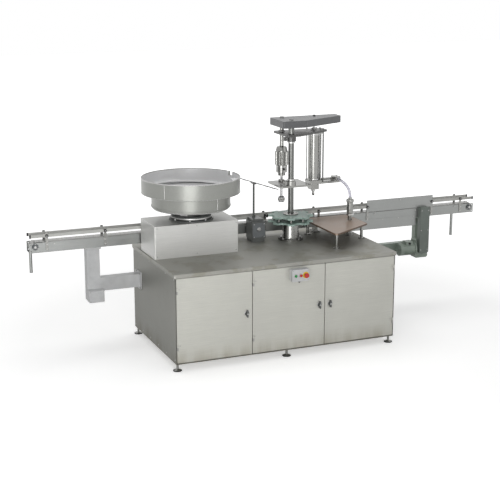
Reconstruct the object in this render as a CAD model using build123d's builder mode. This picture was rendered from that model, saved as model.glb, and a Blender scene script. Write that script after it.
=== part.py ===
# Rotary-indexed oil filling and capping machine.
# A sheet-metal cabinet carries a stepped cap feeder bowl, an eight-pocket star wheel round a fixed mast,
# a lifting yoke with a dosing piston and a capping spindle, and a slat conveyor that runs past them all.
# Millimetres. +X runs along the conveyor, +Y from the operator to the back, +Z up.
# The origin lies on the floor below the middle of the whole machine.
import os
from math import atan2, cos, degrees, hypot, pi, radians, sin, tan

from build123d import *

os.makedirs("parts", exist_ok=True)

# Driving dimensions of the cabinet
cabinet_length = 1940
cabinet_depth = 1100
cabinet_x = -200
foot_height = 65
deck_top = 800
deck_thickness = 4
deck_overhang = 10
deck_lip = 30
sheet = 2
tube_size = 40
tube_wall = 2.5
door_gap = 6
door_fold = 20
door_clearance = 2

# Driving dimensions of the star wheel, the mast and the stations
mast_x = 150
mast_y = 200
mast_radius = 25
mast_bore = 14
mast_top = 1770
lift_rod_radius = 12
pitch_radius = 200
bottle_radius = 45
pocket_play = 2
pocket_count = 8
dosing_offset = 310
lift_stroke = 100
running = 0.1
fin_count = 16

# Driving dimensions of the conveyor
conveyor_length = 4210
belt_top = 940
belt_width = 83
slat_thickness = 4
slat_pitch = 38.1
slats_round_wheel = 6
chain_end_clearance = 5
side_plate = 4
side_plate_height = 84
lane_half = 48
shaft_radius = 10

# Driving dimensions of the cap feeder
plinth_length = 730
plinth_front = -50
plinth_top = 1075
bowl_inset = 385
bowl_setback = 195
bowl_bottom = 1170
bowl_ledge = 1305
rim_top = 1425
floor_radius = 328
rim_radius = 410

# Places that follow from the driving dimensions
cabinet_left = cabinet_x - cabinet_length / 2
cabinet_right = cabinet_x + cabinet_length / 2
cabinet_front = -cabinet_depth / 2
cabinet_back = cabinet_depth / 2
frame_left = cabinet_left + sheet
frame_right = cabinet_right - sheet
frame_front = cabinet_front + door_fold + door_clearance
frame_back = cabinet_back - sheet
frame_bottom = foot_height
frame_top = deck_top - deck_thickness
conveyor_y = mast_y + pitch_radius
dosing_x = mast_x + dosing_offset
conveyor_left = -conveyor_length / 2
conveyor_right = conveyor_length / 2
plate_out = lane_half + side_plate
bowl_x = cabinet_left + bowl_inset
bowl_y = plinth_front + bowl_setback

standing = (Align.CENTER, Align.CENTER, Align.MIN)
hanging = (Align.CENTER, Align.CENTER, Align.MAX)


def block(x0, x1, y0, y1, z0, z1, mode=Mode.ADD):
    """A box between two corners, in the part that is being built."""
    with Locations(((x0 + x1) / 2, (y0 + y1) / 2, (z0 + z1) / 2)):
        Box(x1 - x0, y1 - y0, z1 - z0, mode=mode)


def post(x, y, z0, z1, radius, mode=Mode.ADD):
    """An upright cylinder from z0 to z1, in the part that is being built."""
    with Locations((x, y, z0)):
        Cylinder(radius, z1 - z0, align=standing, mode=mode)


def bar_along_y(x, z, y0, y1, radius, mode=Mode.ADD):
    """A cylinder along Y from y0 to y1, in the part that is being built."""
    with Locations(Location((x, y0, z), (-90, 0, 0))):
        Cylinder(radius, y1 - y0, align=standing, mode=mode)


def bar_along_x(y, z, x0, x1, radius, mode=Mode.ADD):
    """A cylinder along X from x0 to x1, in the part that is being built."""
    with Locations(Location((x0, y, z), (0, 90, 0))):
        Cylinder(radius, x1 - x0, align=standing, mode=mode)


def turned(x, y, points):
    """A turned piece about the upright axis at x, y, from the radius and height of each profile corner."""
    with BuildSketch(Plane.XZ.offset(-y)) as profile:
        with BuildLine():
            Polyline([(x + radius, height) for radius, height in points], close=True)
        make_face()
    revolve(profile.sketch, axis=Axis((x, y, 0), (0, 0, 1)))


def square_tube(start, direction, length, across=(1, 0, 0)):
    """One length of the frame's square tube that starts at a point and runs in a direction."""
    with BuildPart() as length_of_tube:
        with BuildSketch(Plane(origin=start, x_dir=across, z_dir=direction)):
            Rectangle(tube_size, tube_size)
            Rectangle(tube_size - 2 * tube_wall, tube_size - 2 * tube_wall, mode=Mode.SUBTRACT)
        extrude(amount=length)
    return length_of_tube.part


def finned_motor(y, z, x0, x1, radius):
    """A motor that lies along X, from its flange at x1 to its fan cover at x0, in the part being built."""
    fin_depth = radius * 0.14
    cover = (x1 - x0) * 0.2
    bar_along_x(y, z, x1 - 12, x1, radius)
    bar_along_x(y, z, x0, x0 + cover, radius - 2)
    bar_along_x(y, z, x0 + cover, x1 - 12, radius - fin_depth)
    for i in range(fin_count):
        with Locations(Location((x0 + cover, y, z), (360 / fin_count * i, 0, 0))):
            with Locations(((x1 - 12 - x0 - cover) / 2, 0, radius - fin_depth)):
                Box(x1 - 12 - x0 - cover, 3, 2 * fin_depth - 4)


def export_group(name, solids):
    """Several separate solids of one kind, written to one file."""
    together = Compound(label=name, children=solids)
    export_step(together, f"parts/{name}.step")


# Base frame: square tubes, butt welded, with the fixed hinge halves and the latch keepers
door_count = 3
door_width = (frame_right - frame_left - (door_count + 1) * door_gap) / door_count
door_left_edges = [frame_left + door_gap + i * (door_width + door_gap) for i in range(door_count)]
door_bottom = foot_height + 10
door_top = deck_top - deck_lip - door_gap
split_x = [edge - door_gap / 2 for edge in door_left_edges[1:]]
half_tube = tube_size / 2
rail_x = [frame_left + half_tube] + split_x + [frame_right - half_tube]
rail_y = [frame_front + half_tube, frame_back - half_tube]
rail_z = [frame_bottom + half_tube, frame_top - half_tube]
drive_rail_offset = 150
cylinder_rail_offset = 60

hinge_inset = 4
knuckle_radius = 6
knuckle_height = 25
knuckle_gap = 0.4
pin_radius = 3
hinge_leaf = 2.5
hinge_heights = [180, 640]
hinge_y = cabinet_front - knuckle_radius
hinge_side = [-1, -1, 1]
door_middles = [edge + door_width / 2 for edge in door_left_edges]
hinge_x = [
    middle + side * (door_width / 2 - hinge_inset) for middle, side in zip(door_middles, hinge_side)
]

latch_inset = 45
latch_z = 420
cam_reach = 24
cam_thickness = 3
keeper_thickness = 3
keeper_gap = 0.5
latch_x = [
    middle - side * (door_width / 2 - latch_inset) for middle, side in zip(door_middles, hinge_side)
]

tubes = []
upright_length = frame_top - frame_bottom - 2 * tube_size
for y in rail_y:
    for z in rail_z:
        tubes.append(square_tube((frame_left, y, z), (1, 0, 0), frame_right - frame_left, (0, 1, 0)))
    for x in rail_x:
        tubes.append(square_tube((x, y, frame_bottom + tube_size), (0, 0, 1), upright_length))
cross_length = rail_y[1] - rail_y[0] - tube_size
cross_start = rail_y[0] + half_tube
for x in (rail_x[0], rail_x[-1], mast_x - cylinder_rail_offset, mast_x + cylinder_rail_offset):
    tubes.append(square_tube((x, cross_start, rail_z[0]), (0, 1, 0), cross_length))
for x in (rail_x[0], rail_x[-1], mast_x - drive_rail_offset, mast_x + drive_rail_offset):
    tubes.append(square_tube((x, cross_start, rail_z[1]), (0, 1, 0), cross_length))

for x, side in zip(hinge_x, hinge_side):
    for z in hinge_heights:
        with BuildPart() as fixed_hinge:
            post(x, hinge_y, z, z + knuckle_height, knuckle_radius)
            post(x, hinge_y, z, z + 2 * knuckle_height, pin_radius)
            leaf_inner = x + side * (knuckle_radius - 1)
            leaf_outer = leaf_inner + side * hinge_leaf
            block(*sorted((leaf_inner, leaf_outer)), hinge_y, frame_front, z, z + knuckle_height)
        tubes.append(fixed_hinge.part)

for x, side in zip(latch_x, hinge_side):
    free_edge = x - side * latch_inset
    keeper_start = free_edge - side * door_gap / 2 + side * half_tube
    keeper_end = x - side * (cam_reach - 14)
    with BuildPart() as keeper:
        block(
            *sorted((keeper_start, keeper_end)),
            frame_front,
            frame_front + keeper_thickness,
            latch_z - 20,
            latch_z + 20,
        )
    tubes.append(keeper.part)
export_group("base_frame", tubes)

# Levelling feet: a pad, a threaded stem and a lock nut each
pad_radius = 32
pad_height = 14
stem_radius = 9
nut_radius = 16
nut_height = 10
feet_x = [rail_x[0], cabinet_x, rail_x[-1]]
foot_top = foot_height - sheet
feet = []
for x in feet_x:
    for y in rail_y:
        with BuildPart() as foot:
            turned(
                x,
                y,
                [
                    (0, 0),
                    (pad_radius, 0),
                    (pad_radius, pad_height / 2),
                    (nut_radius, pad_height),
                    (stem_radius, pad_height + 4),
                    (stem_radius, foot_top),
                    (0, foot_top),
                ],
            )
            with BuildSketch(Plane.XY.offset(foot_top - nut_height)):
                with Locations((x, y)):
                    RegularPolygon(nut_radius, 6)
            extrude(amount=nut_height)
        feet.append(foot.part)
export_group("levelling_feet", feet)

# Floor pan, side panels and back panel with its vent slots
with BuildPart() as floor_pan:
    block(cabinet_left, cabinet_right, cabinet_front, cabinet_back, foot_height - sheet, foot_height)
floor_pan.part.label = "floor_pan"
export_step(floor_pan.part, "parts/floor_pan.step")

side_panels = []
for x0, x1 in ((cabinet_left, frame_left), (frame_right, cabinet_right)):
    with BuildPart() as side_panel:
        block(x0, x1, cabinet_front, cabinet_back, frame_bottom, frame_top)
        fillet(side_panel.edges().filter_by(Axis.X).sort_by(Axis.Z)[:2], 6)
    side_panels.append(side_panel.part)
export_group("side_panels", side_panels)

vent_length = 160
vent_height = 8
vent_pitch = 26
vent_rows = 6
vent_z = 640
vent_x = [cabinet_x - 600, cabinet_x + 100]
supply_x = cabinet_right - 80
supply_y = 130
supply_z = 650
supply_pipe_radius = 19
supply_wall = 2
pipe_clearance = 2
with BuildPart() as back_panel:
    block(frame_left, frame_right, frame_back, cabinet_back, frame_bottom, frame_top)
    for x in vent_x:
        for row in range(vent_rows):
            with BuildSketch(Plane.XZ.offset(-cabinet_back)):
                with Locations((x, vent_z - row * vent_pitch)):
                    SlotOverall(vent_length, vent_height)
            extrude(amount=2 * sheet, mode=Mode.SUBTRACT)
    bar_along_y(
        supply_x, supply_z, frame_back, cabinet_back, supply_pipe_radius + pipe_clearance, mode=Mode.SUBTRACT
    )
back_panel.part.label = "back_panel"
export_step(back_panel.part, "parts/back_panel.step")

# Deck plate: folded down all round, with holes for the star shaft and the supply pipe
star_shaft_radius = 40
deck_hole_radius = star_shaft_radius + 20
with BuildPart() as deck_plate:
    block(
        cabinet_left - deck_overhang,
        cabinet_right + deck_overhang,
        cabinet_front - deck_overhang,
        cabinet_back + deck_overhang,
        deck_top - deck_lip,
        deck_top,
    )
    fillet(deck_plate.edges().filter_by(Axis.Z), 12)
    inner = deck_overhang - deck_thickness
    block(
        cabinet_left - inner,
        cabinet_right + inner,
        cabinet_front - inner,
        cabinet_back + inner,
        deck_top - deck_lip,
        frame_top,
        mode=Mode.SUBTRACT,
    )
    post(mast_x, mast_y, frame_top, deck_top, deck_hole_radius, mode=Mode.SUBTRACT)
    post(supply_x, supply_y, frame_top, deck_top, supply_pipe_radius + pipe_clearance, mode=Mode.SUBTRACT)
    chamfer(deck_plate.faces().sort_by(Axis.Z)[-1].outer_wire().edges(), 2)
deck_plate.part.label = "deck_plate"
export_step(deck_plate.part, "parts/deck_plate.step")

# Doors: folded pans with the moving hinge halves on the outside and a hole for the latch
latch_shaft_radius = 6
door_leaf_length = 28
door_leaf = 2
for name, left, middle, pivot, side, lock in zip(
    ("door_left", "door_middle", "door_right"), door_left_edges, door_middles, hinge_x, hinge_side, latch_x
):
    with BuildPart() as door:
        block(left, left + door_width, cabinet_front, cabinet_front + door_fold, door_bottom, door_top)
        fillet(door.edges().filter_by(Axis.Y), 4)
        block(
            left + sheet,
            left + door_width - sheet,
            cabinet_front + sheet,
            cabinet_front + door_fold,
            door_bottom + sheet,
            door_top - sheet,
            mode=Mode.SUBTRACT,
        )
        for z in hinge_heights:
            low = z + knuckle_height + knuckle_gap
            high = z + 2 * knuckle_height
            leaf_end = pivot - side * door_leaf_length
            block(*sorted((pivot, leaf_end)), cabinet_front - door_leaf, cabinet_front, low, high)
            post(pivot, hinge_y, low, high, knuckle_radius)
            post(pivot, hinge_y, low, high, pin_radius + running, mode=Mode.SUBTRACT)
        latch_hole = latch_shaft_radius + running
        bar_along_y(lock, latch_z, cabinet_front, cabinet_front + sheet, latch_hole, mode=Mode.SUBTRACT)
    door.part.label = name
    export_step(door.part, f"parts/{name}.step")

# Door latches: a quarter-turn T handle outside and a cam inside that turns in behind the keeper
latch_disc_radius = 18
latch_disc = 5
latch_face_gap = 0.3
wing_length = 62
wing_width = 12
wing_height = 18
cam_y = frame_front + keeper_thickness + keeper_gap
for name, lock in zip(("latch_left", "latch_middle", "latch_right"), latch_x):
    with BuildPart() as latch:
        disc_back = cabinet_front - latch_face_gap
        bar_along_y(lock, latch_z, disc_back - latch_disc, disc_back, latch_disc_radius)
        with BuildSketch(Plane.XZ.offset(-(disc_back - latch_disc))):
            with Locations((lock, latch_z)):
                SlotOverall(wing_length, wing_width, rotation=90)
        extrude(amount=wing_height)
        bar_along_y(lock, latch_z, disc_back, cam_y + cam_thickness, latch_shaft_radius)
        block(
            lock - 8,
            lock + 8,
            cam_y,
            cam_y + cam_thickness,
            latch_z - 8,
            latch_z + cam_reach,
        )
    latch.part.label = name
    export_step(latch.part, f"parts/{name}.step")

# Control box on the middle door, with two push buttons and a mushroom stop
control_width = 150
control_height = 100
control_depth = 55
control_x = -123
control_z = 700
control_front = cabinet_front - control_depth
button_radius = 11
button_head = 8
button_travel = 4
button_stem = 12
button_stem_radius = 7
mushroom_radius = 19
mushroom_head = 22
mushroom_travel = 6
button_offset = 45
with BuildPart() as control_box:
    block(
        control_x - control_width / 2,
        control_x + control_width / 2,
        control_front,
        cabinet_front,
        control_z - control_height / 2,
        control_z + control_height / 2,
    )
    fillet(control_box.edges().filter_by(Axis.Y), 8)
    chamfer(control_box.faces().sort_by(Axis.Y)[0].edges(), 2)
    for dx in (-button_offset, 0, button_offset):
        bar_along_y(
            control_x + dx,
            control_z,
            control_front,
            control_front + button_stem + mushroom_travel + 2,
            button_stem_radius + running,
            mode=Mode.SUBTRACT,
        )
control_box.part.label = "control_box"
export_step(control_box.part, "parts/control_box.step")

for name, dx in (("start_button", -button_offset), ("stop_button", 0)):
    with BuildPart() as button:
        head_back = control_front - button_travel - 0.5
        bar_along_y(control_x + dx, control_z, head_back - button_head, head_back, button_radius)
        bar_along_y(control_x + dx, control_z, head_back, control_front + button_stem, button_stem_radius)
        chamfer(button.faces().sort_by(Axis.Y)[0].edges(), 1)
    button.part.label = name
    export_step(button.part, f"parts/{name}.step")

with BuildPart() as emergency_stop:
    head_back = control_front - mushroom_travel - 0.5
    head_front = head_back - mushroom_head
    stop_x = control_x + button_offset
    bar_along_y(stop_x, control_z, head_front, head_front + 12, mushroom_radius)
    bar_along_y(stop_x, control_z, head_front, head_back, button_radius)
    bar_along_y(stop_x, control_z, head_back, control_front + button_stem, button_stem_radius)
    fillet(emergency_stop.faces().sort_by(Axis.Y)[0].edges(), 4)
emergency_stop.part.label = "emergency_stop"
export_step(emergency_stop.part, "parts/emergency_stop.step")
front_reach = cabinet_front - head_front

# Feeder plinth: a folded box on the deck, between the left edge and the conveyor
plinth_left = cabinet_left
plinth_right = plinth_left + plinth_length
knob_room = 22
plinth_back = conveyor_y - plate_out - knob_room
plinth_wall = 3
plinth_plate = 12
with BuildPart() as feeder_plinth:
    block(plinth_left, plinth_right, plinth_front, plinth_back, deck_top, plinth_top)
    fillet(feeder_plinth.edges().filter_by(Axis.Z), 8)
    fillet(feeder_plinth.faces().sort_by(Axis.Z)[-1].outer_wire().edges(), 4)
    block(
        plinth_left + plinth_wall,
        plinth_right - plinth_wall,
        plinth_front + plinth_wall,
        plinth_back - plinth_wall,
        deck_top,
        plinth_top - plinth_plate,
        mode=Mode.SUBTRACT,
    )
feeder_plinth.part.label = "feeder_plinth"
export_step(feeder_plinth.part, "parts/feeder_plinth.step")

# Vibratory drive under the bowl: a round base and four spring packs
base_radius = 185
base_height = 45
base_top = plinth_top + base_height
with BuildPart() as bowl_base:
    turned(
        bowl_x,
        bowl_y,
        [
            (0, plinth_top),
            (base_radius, plinth_top),
            (base_radius, plinth_top + 10),
            (base_radius - 18, plinth_top + 16),
            (base_radius - 18, base_top - 8),
            (base_radius - 26, base_top),
            (0, base_top),
        ],
    )
bowl_base.part.label = "bowl_base"
export_step(bowl_base.part, "parts/bowl_base.step")

spring_count = 4
spring_reach = 125
spring_gap = 0.3
springs = []
for i in range(spring_count):
    angle = 45 + 360 / spring_count * i
    with BuildPart() as spring_pack:
        with Locations(Location((bowl_x, bowl_y, base_top), (0, 0, angle))):
            with Locations((spring_reach, 0, 0)):
                Box(14, 60, bowl_bottom - spring_gap - base_top, align=standing)
    springs.append(spring_pack.part)
export_group("bowl_springs", springs)

# Feeder bowl: a lower and an upper ring with a ledge between them, a coned floor, and the cap track that
# climbs in a helix up the inside of each ring to the outlet in the rim
chute_end = Vector(mast_x - 52, conveyor_y - 17, 1212)
bowl_wall = 4
bowl_corner = 12
cone_height = 40
track_width = 56
track_thickness = 3
track_weld = 1.5
lower_turns = 1.5
upper_turns = 1
outlet_angle = degrees(atan2(chute_end.Y - bowl_y, chute_end.X - bowl_x))
outlet_reach = 22
outlet_half = 32
outlet_floor = rim_top - 38
track_end = outlet_angle + 5


def cap_track(outer, low, high, turns):
    """A flat ribbon that climbs counter-clockwise against a ring and ends past the outlet."""
    start = radians(track_end - 360 * turns)
    outwards = (cos(start), sin(start), 0)
    with BuildPart() as ribbon:
        with BuildLine(Plane(origin=(bowl_x, bowl_y, low), x_dir=outwards, z_dir=(0, 0, 1))) as climb:
            Helix(pitch=(high - low) / turns, height=high - low, radius=outer - track_width / 2)
        with BuildSketch(Plane(origin=climb.line @ 0, x_dir=outwards, z_dir=climb.line % 0)):
            Rectangle(track_width, track_thickness)
        sweep(path=climb.line, is_frenet=True)
    return ribbon.part


track_start = bowl_bottom + bowl_wall + 12
track_middle = bowl_ledge - track_weld
lower_track = cap_track(floor_radius - bowl_wall + track_weld, track_start, track_middle, lower_turns)
upper_track = cap_track(rim_radius - bowl_wall + track_weld, track_middle, outlet_floor, upper_turns)
with BuildPart() as feeder_bowl:
    turned(
        bowl_x,
        bowl_y,
        [
            (0, bowl_bottom),
            (floor_radius - bowl_corner, bowl_bottom),
            (floor_radius, bowl_bottom + bowl_corner),
            (floor_radius, bowl_ledge - bowl_wall),
            (rim_radius, bowl_ledge - bowl_wall),
            (rim_radius, rim_top),
            (rim_radius - bowl_wall, rim_top),
            (rim_radius - bowl_wall, bowl_ledge),
            (floor_radius - bowl_wall, bowl_ledge),
            (floor_radius - bowl_wall, bowl_bottom + bowl_corner + 2),
            (floor_radius - bowl_corner - 2, bowl_bottom + bowl_wall),
            (0, bowl_bottom + cone_height),
        ],
    )
    with Locations(Location((bowl_x, bowl_y, 0), (0, 0, outlet_angle))):
        with Locations((rim_radius - 2 + outlet_reach / 2, 0, outlet_floor)):
            Box(outlet_reach, 2 * outlet_half, rim_top - outlet_floor, align=standing)
        with Locations((rim_radius - 3 + outlet_reach / 2, 0, outlet_floor + 3)):
            Box(2 * outlet_reach, 2 * outlet_half - 6, rim_top, align=standing, mode=Mode.SUBTRACT)
    post(bowl_x, bowl_y, bowl_bottom + cone_height / 2, bowl_bottom + cone_height + 10, 22)
    add(lower_track)
    add(upper_track)
feeder_bowl.part.label = "feeder_bowl"
export_step(feeder_bowl.part, "parts/feeder_bowl.step")

# Cap chute: two sloping rods with cross ties, from the bowl outlet down to the capping head
chute_reach = rim_radius + 31
chute_start = Vector(
    bowl_x + chute_reach * cos(radians(outlet_angle)),
    bowl_y + chute_reach * sin(radians(outlet_angle)),
    outlet_floor - 8,
)
chute_rod = 4
chute_half = 22
chute_line = chute_end - chute_start
chute_direction = chute_line.normalized()
chute_across = Vector(-chute_direction.Y, chute_direction.X, 0).normalized()
chute_ties = 6
with BuildPart() as cap_chute:
    for side in (-1, 1):
        rod_start = chute_start + chute_across * side * chute_half
        with BuildSketch(Plane(origin=rod_start, z_dir=chute_direction)):
            Circle(chute_rod)
        extrude(amount=chute_line.length)
    for i in range(chute_ties):
        middle = chute_start + chute_line * ((i + 0.5) / chute_ties)
        tie_start = middle - chute_across * chute_half - Vector(0, 0, chute_rod)
        with BuildSketch(Plane(origin=tie_start, z_dir=chute_across)):
            Circle(3)
        extrude(amount=2 * chute_half)
cap_chute.part.label = "cap_chute"
export_step(cap_chute.part, "parts/cap_chute.step")

# Linear drive block that carries the chute on one upright with a saddle
stand_share = 0.46
saddle_middle = chute_start + chute_line * stand_share
saddle_height = 14
saddle_top = saddle_middle.Z - saddle_height + 4
stand_x = saddle_middle.X
stand_y = saddle_middle.Y
stand_back = conveyor_y - plate_out - 13
stand_block_top = 1000
with BuildPart() as drive_block:
    block(stand_x - 65, stand_x + 65, stand_y - 115, stand_back, deck_top + 26, stand_block_top - 22)
    chamfer(drive_block.edges().filter_by(Axis.Z), 5)
    block(stand_x - 58, stand_x + 58, stand_y - 108, stand_back - 7, deck_top, deck_top + 26)
    block(stand_x - 50, stand_x + 50, stand_y - 100, stand_back, stand_block_top - 22, stand_block_top)
with BuildPart() as upright:
    post(stand_x, stand_y, stand_block_top, saddle_top, 9)
    post(stand_x, stand_y, stand_block_top, stand_block_top + 12, 15)
with BuildPart() as saddle:
    with BuildSketch(Plane(origin=saddle_middle, x_dir=chute_across, z_dir=chute_direction)):
        with Locations((0, -saddle_height / 2)):
            Rectangle(2 * chute_half + 12, saddle_height)
        for side in (-1, 1):
            with Locations((side * chute_half, 0)):
                Circle(chute_rod + 0.2, mode=Mode.SUBTRACT)
    extrude(amount=10, both=True)
    post(stand_x, stand_y, saddle_top - 10, saddle_top, 9, mode=Mode.SUBTRACT)
export_group("chute_stand", [drive_block.part, upright.part, saddle.part])

# Index drive hung from the upper rails, with its motor at the left
drive_top = rail_z[1] - half_tube
gearbox_half = 115
gearbox_low = 600
motor_radius = 62
motor_z = 665
with BuildPart() as index_drive:
    block(
        mast_x - drive_rail_offset - half_tube,
        mast_x + drive_rail_offset + half_tube,
        mast_y - gearbox_half,
        mast_y + gearbox_half,
        drive_top - 12,
        drive_top,
    )
    block(
        mast_x - gearbox_half,
        mast_x + gearbox_half,
        mast_y - gearbox_half,
        mast_y + gearbox_half,
        gearbox_low,
        drive_top - 12,
    )
    chamfer(index_drive.faces().sort_by(Axis.Z)[0].edges(), 8)
    finned_motor(mast_y, motor_z, mast_x - gearbox_half - 260, mast_x - gearbox_half, motor_radius)
    block(
        mast_x - gearbox_half - 170,
        mast_x - gearbox_half - 80,
        mast_y - motor_radius - 18,
        mast_y - motor_radius + 12,
        motor_z - 40,
        motor_z + 40,
    )
    post(mast_x, mast_y, gearbox_low - 1, drive_top, star_shaft_radius + running, mode=Mode.SUBTRACT)
index_drive.part.label = "index_drive"
export_step(index_drive.part, "parts/index_drive.step")

# Mast: a fixed tube up the middle of the star wheel, bolted under the gearbox, with a bush at its top
mast_flange = 65
with BuildPart() as mast:
    turned(
        mast_x,
        mast_y,
        [
            (mast_bore, gearbox_low - 14),
            (mast_flange, gearbox_low - 14),
            (mast_flange, gearbox_low),
            (mast_radius, gearbox_low),
            (mast_radius, mast_top),
            (lift_rod_radius + running, mast_top),
            (lift_rod_radius + running, mast_top - 60),
            (mast_bore, mast_top - 60),
        ],
    )
mast.part.label = "mast"
export_step(mast.part, "parts/mast.step")

# Bearing housing on the deck and the hollow shaft that turns in it round the mast
housing_top = 935
flange_low = housing_top + 1
star_low = 955
star_thickness = 15
star_gap = 35
star_radius = 195
with BuildPart() as star_housing:
    turned(
        mast_x,
        mast_y,
        [
            (star_shaft_radius + running, deck_top),
            (110, deck_top),
            (110, deck_top + 14),
            (78, deck_top + 18),
            (66, housing_top - 8),
            (66, housing_top),
            (star_shaft_radius + running, housing_top),
        ],
    )
star_housing.part.label = "star_housing"
export_step(star_housing.part, "parts/star_housing.step")

with BuildPart() as star_shaft:
    turned(
        mast_x,
        mast_y,
        [
            (mast_radius + 2, gearbox_low + 6),
            (star_shaft_radius, gearbox_low + 6),
            (star_shaft_radius, flange_low),
            (72, flange_low),
            (72, star_low),
            (mast_radius + 2, star_low),
        ],
    )
star_shaft.part.label = "star_shaft"
export_step(star_shaft.part, "parts/star_shaft.step")

# Star wheel: two pocketed discs on spacers
star_middle = Location((mast_x, mast_y, 0))
for name, low in (("star_disc_lower", star_low), ("star_disc_upper", star_low + star_thickness + star_gap)):
    with BuildPart() as disc:
        with BuildSketch(Plane.XY.offset(low)):
            with Locations((mast_x, mast_y)):
                Circle(star_radius)
                Circle(mast_radius + 3, mode=Mode.SUBTRACT)
                with PolarLocations(pitch_radius, pocket_count, start_angle=90):
                    Circle(bottle_radius + pocket_play, mode=Mode.SUBTRACT)
        extrude(amount=star_thickness)
        chamfer(disc.faces().sort_by(Axis.Z)[-1].outer_wire().edges(), 1.5)
        chamfer(disc.faces().sort_by(Axis.Z)[0].outer_wire().edges(), 1.5)
    disc.part.label = name
    export_step(disc.part, f"parts/{name}.step")

spacers = []
for i in range(pocket_count):
    angle = radians(22.5 + 45 * i)
    with BuildPart() as spacer:
        post(
            mast_x + 145 * cos(angle),
            mast_y + 145 * sin(angle),
            star_low + star_thickness,
            star_low + star_thickness + star_gap,
            9,
        )
    spacers.append(spacer.part)
export_group("star_spacers", spacers)

# Lift cylinder on the lower rails and the rod that runs up through the mast
cylinder_low = frame_bottom + tube_size
cylinder_high = 440
cylinder_radius = 34
cylinder_bore = 28
piston_z = cylinder_low + 36
with BuildPart() as lift_cylinder:
    block(mast_x - 80, mast_x + 80, mast_y - 50, mast_y + 50, cylinder_low, cylinder_low + 12)
    turned(
        mast_x,
        mast_y,
        [
            (0, cylinder_low + 12),
            (cylinder_radius, cylinder_low + 12),
            (cylinder_radius, cylinder_high),
            (lift_rod_radius + running, cylinder_high),
            (lift_rod_radius + running, cylinder_high - 20),
            (cylinder_bore, cylinder_high - 20),
            (cylinder_bore, cylinder_low + 30),
            (0, cylinder_low + 30),
        ],
    )
lift_cylinder.part.label = "lift_cylinder"
export_step(lift_cylinder.part, "parts/lift_cylinder.step")

yoke_low = mast_top + 5
yoke_height = 60
yoke_high = yoke_low + yoke_height
with BuildPart() as lift_rod:
    turned(
        mast_x,
        mast_y,
        [
            (0, piston_z),
            (cylinder_bore - running, piston_z),
            (cylinder_bore - running, piston_z + 20),
            (lift_rod_radius, piston_z + 20),
            (lift_rod_radius, yoke_low),
            (0, yoke_low),
        ],
    )
lift_rod.part.label = "lift_rod"
export_step(lift_rod.part, "parts/lift_rod.step")

# Lift yoke: a folded tray, skirt down, with a boss over each rod
yoke_wall = 6
yoke_outline = [(58, 150), (270, 150), (690, 335), (690, 455), (58, 455)]
with BuildPart() as lift_yoke:
    with BuildSketch(Plane.XY.offset(yoke_low)):
        Polygon(*yoke_outline, align=None)
    extrude(amount=yoke_high - yoke_low)
    fillet(lift_yoke.edges().filter_by(Axis.Z), 14)
    with BuildSketch(Plane.XY.offset(yoke_low)):
        with BuildLine():
            Polyline(*yoke_outline, close=True)
        make_face()
        offset(amount=-yoke_wall, kind=Kind.INTERSECTION)
    extrude(amount=yoke_high - yoke_low - yoke_wall, mode=Mode.SUBTRACT)
    post(mast_x, mast_y, yoke_low, yoke_high - yoke_wall, 28)
    post(mast_x, conveyor_y, yoke_low, yoke_high - yoke_wall, 28)
    post(dosing_x, conveyor_y, yoke_low, yoke_high - yoke_wall, 22)
    with BuildSketch(Plane.XY.offset(yoke_high)):
        for x, y, size in ((mast_x, mast_y, 20), (mast_x, conveyor_y, 20), (dosing_x, conveyor_y, 14)):
            with Locations((x, y)):
                RegularPolygon(size, 6)
    extrude(amount=10)
lift_yoke.part.label = "lift_yoke"
export_step(lift_yoke.part, "parts/lift_yoke.step")

# Crossbeam clamped on the mast, with clearance round the capping tube and a gland round the piston rod
beam_low = mast_top - 70
beam_thickness = 18
beam_high = beam_low + beam_thickness
tube_radius = 18
rod_radius = 8
tie_x = dosing_x + 75
tie_y = [conveyor_y - 35, conveyor_y + 35]
with BuildPart() as crossbeam:
    with BuildSketch(Plane.XY.offset(beam_low)):
        Polygon((95, 150), (215, 150), (560, 340), (560, 455), (95, 455), align=None)
    extrude(amount=beam_high - beam_low)
    fillet(crossbeam.edges().filter_by(Axis.Z), 12)
    post(mast_x, mast_y, beam_low - 40, beam_low, 42)
    block(mast_x - 64, mast_x - 30, mast_y - 15, mast_y + 15, beam_low - 36, beam_low - 4)
    post(mast_x, mast_y, beam_low - 41, beam_high, mast_radius + running, mode=Mode.SUBTRACT)
    block(mast_x - 70, mast_x, mast_y - 2, mast_y + 2, beam_low - 41, beam_low - 1, mode=Mode.SUBTRACT)
    post(mast_x, conveyor_y, beam_low, beam_high, tube_radius + 3, mode=Mode.SUBTRACT)
    post(dosing_x, conveyor_y, beam_low, beam_high, rod_radius + running, mode=Mode.SUBTRACT)
crossbeam.part.label = "crossbeam"
export_step(crossbeam.part, "parts/crossbeam.step")

# Guide arm: a second plate on the mast, low down, with the bush of the capping spindle
guide_low = 1260
guide_thickness = 16
guide_high = guide_low + guide_thickness
spindle_radius = 12
with BuildPart() as guide_arm:
    block(40, 328, 160, 455, guide_low, guide_high)
    fillet(guide_arm.edges().filter_by(Axis.Z), 14)
    post(mast_x, mast_y, guide_high, guide_high + 40, 42)
    post(mast_x, conveyor_y, guide_low - 12, guide_high + 14, 28)
    block(mast_x - 64, mast_x - 30, mast_y - 15, mast_y + 15, guide_high + 4, guide_high + 36)
    post(mast_x, mast_y, guide_low, guide_high + 41, mast_radius + running, mode=Mode.SUBTRACT)
    block(mast_x - 70, mast_x, mast_y - 2, mast_y + 2, guide_high + 1, guide_high + 41, mode=Mode.SUBTRACT)
    post(mast_x, conveyor_y, guide_low - 12, guide_high + 14, spindle_radius + running, mode=Mode.SUBTRACT)
guide_arm.part.label = "guide_arm"
export_step(guide_arm.part, "parts/guide_arm.step")

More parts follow.
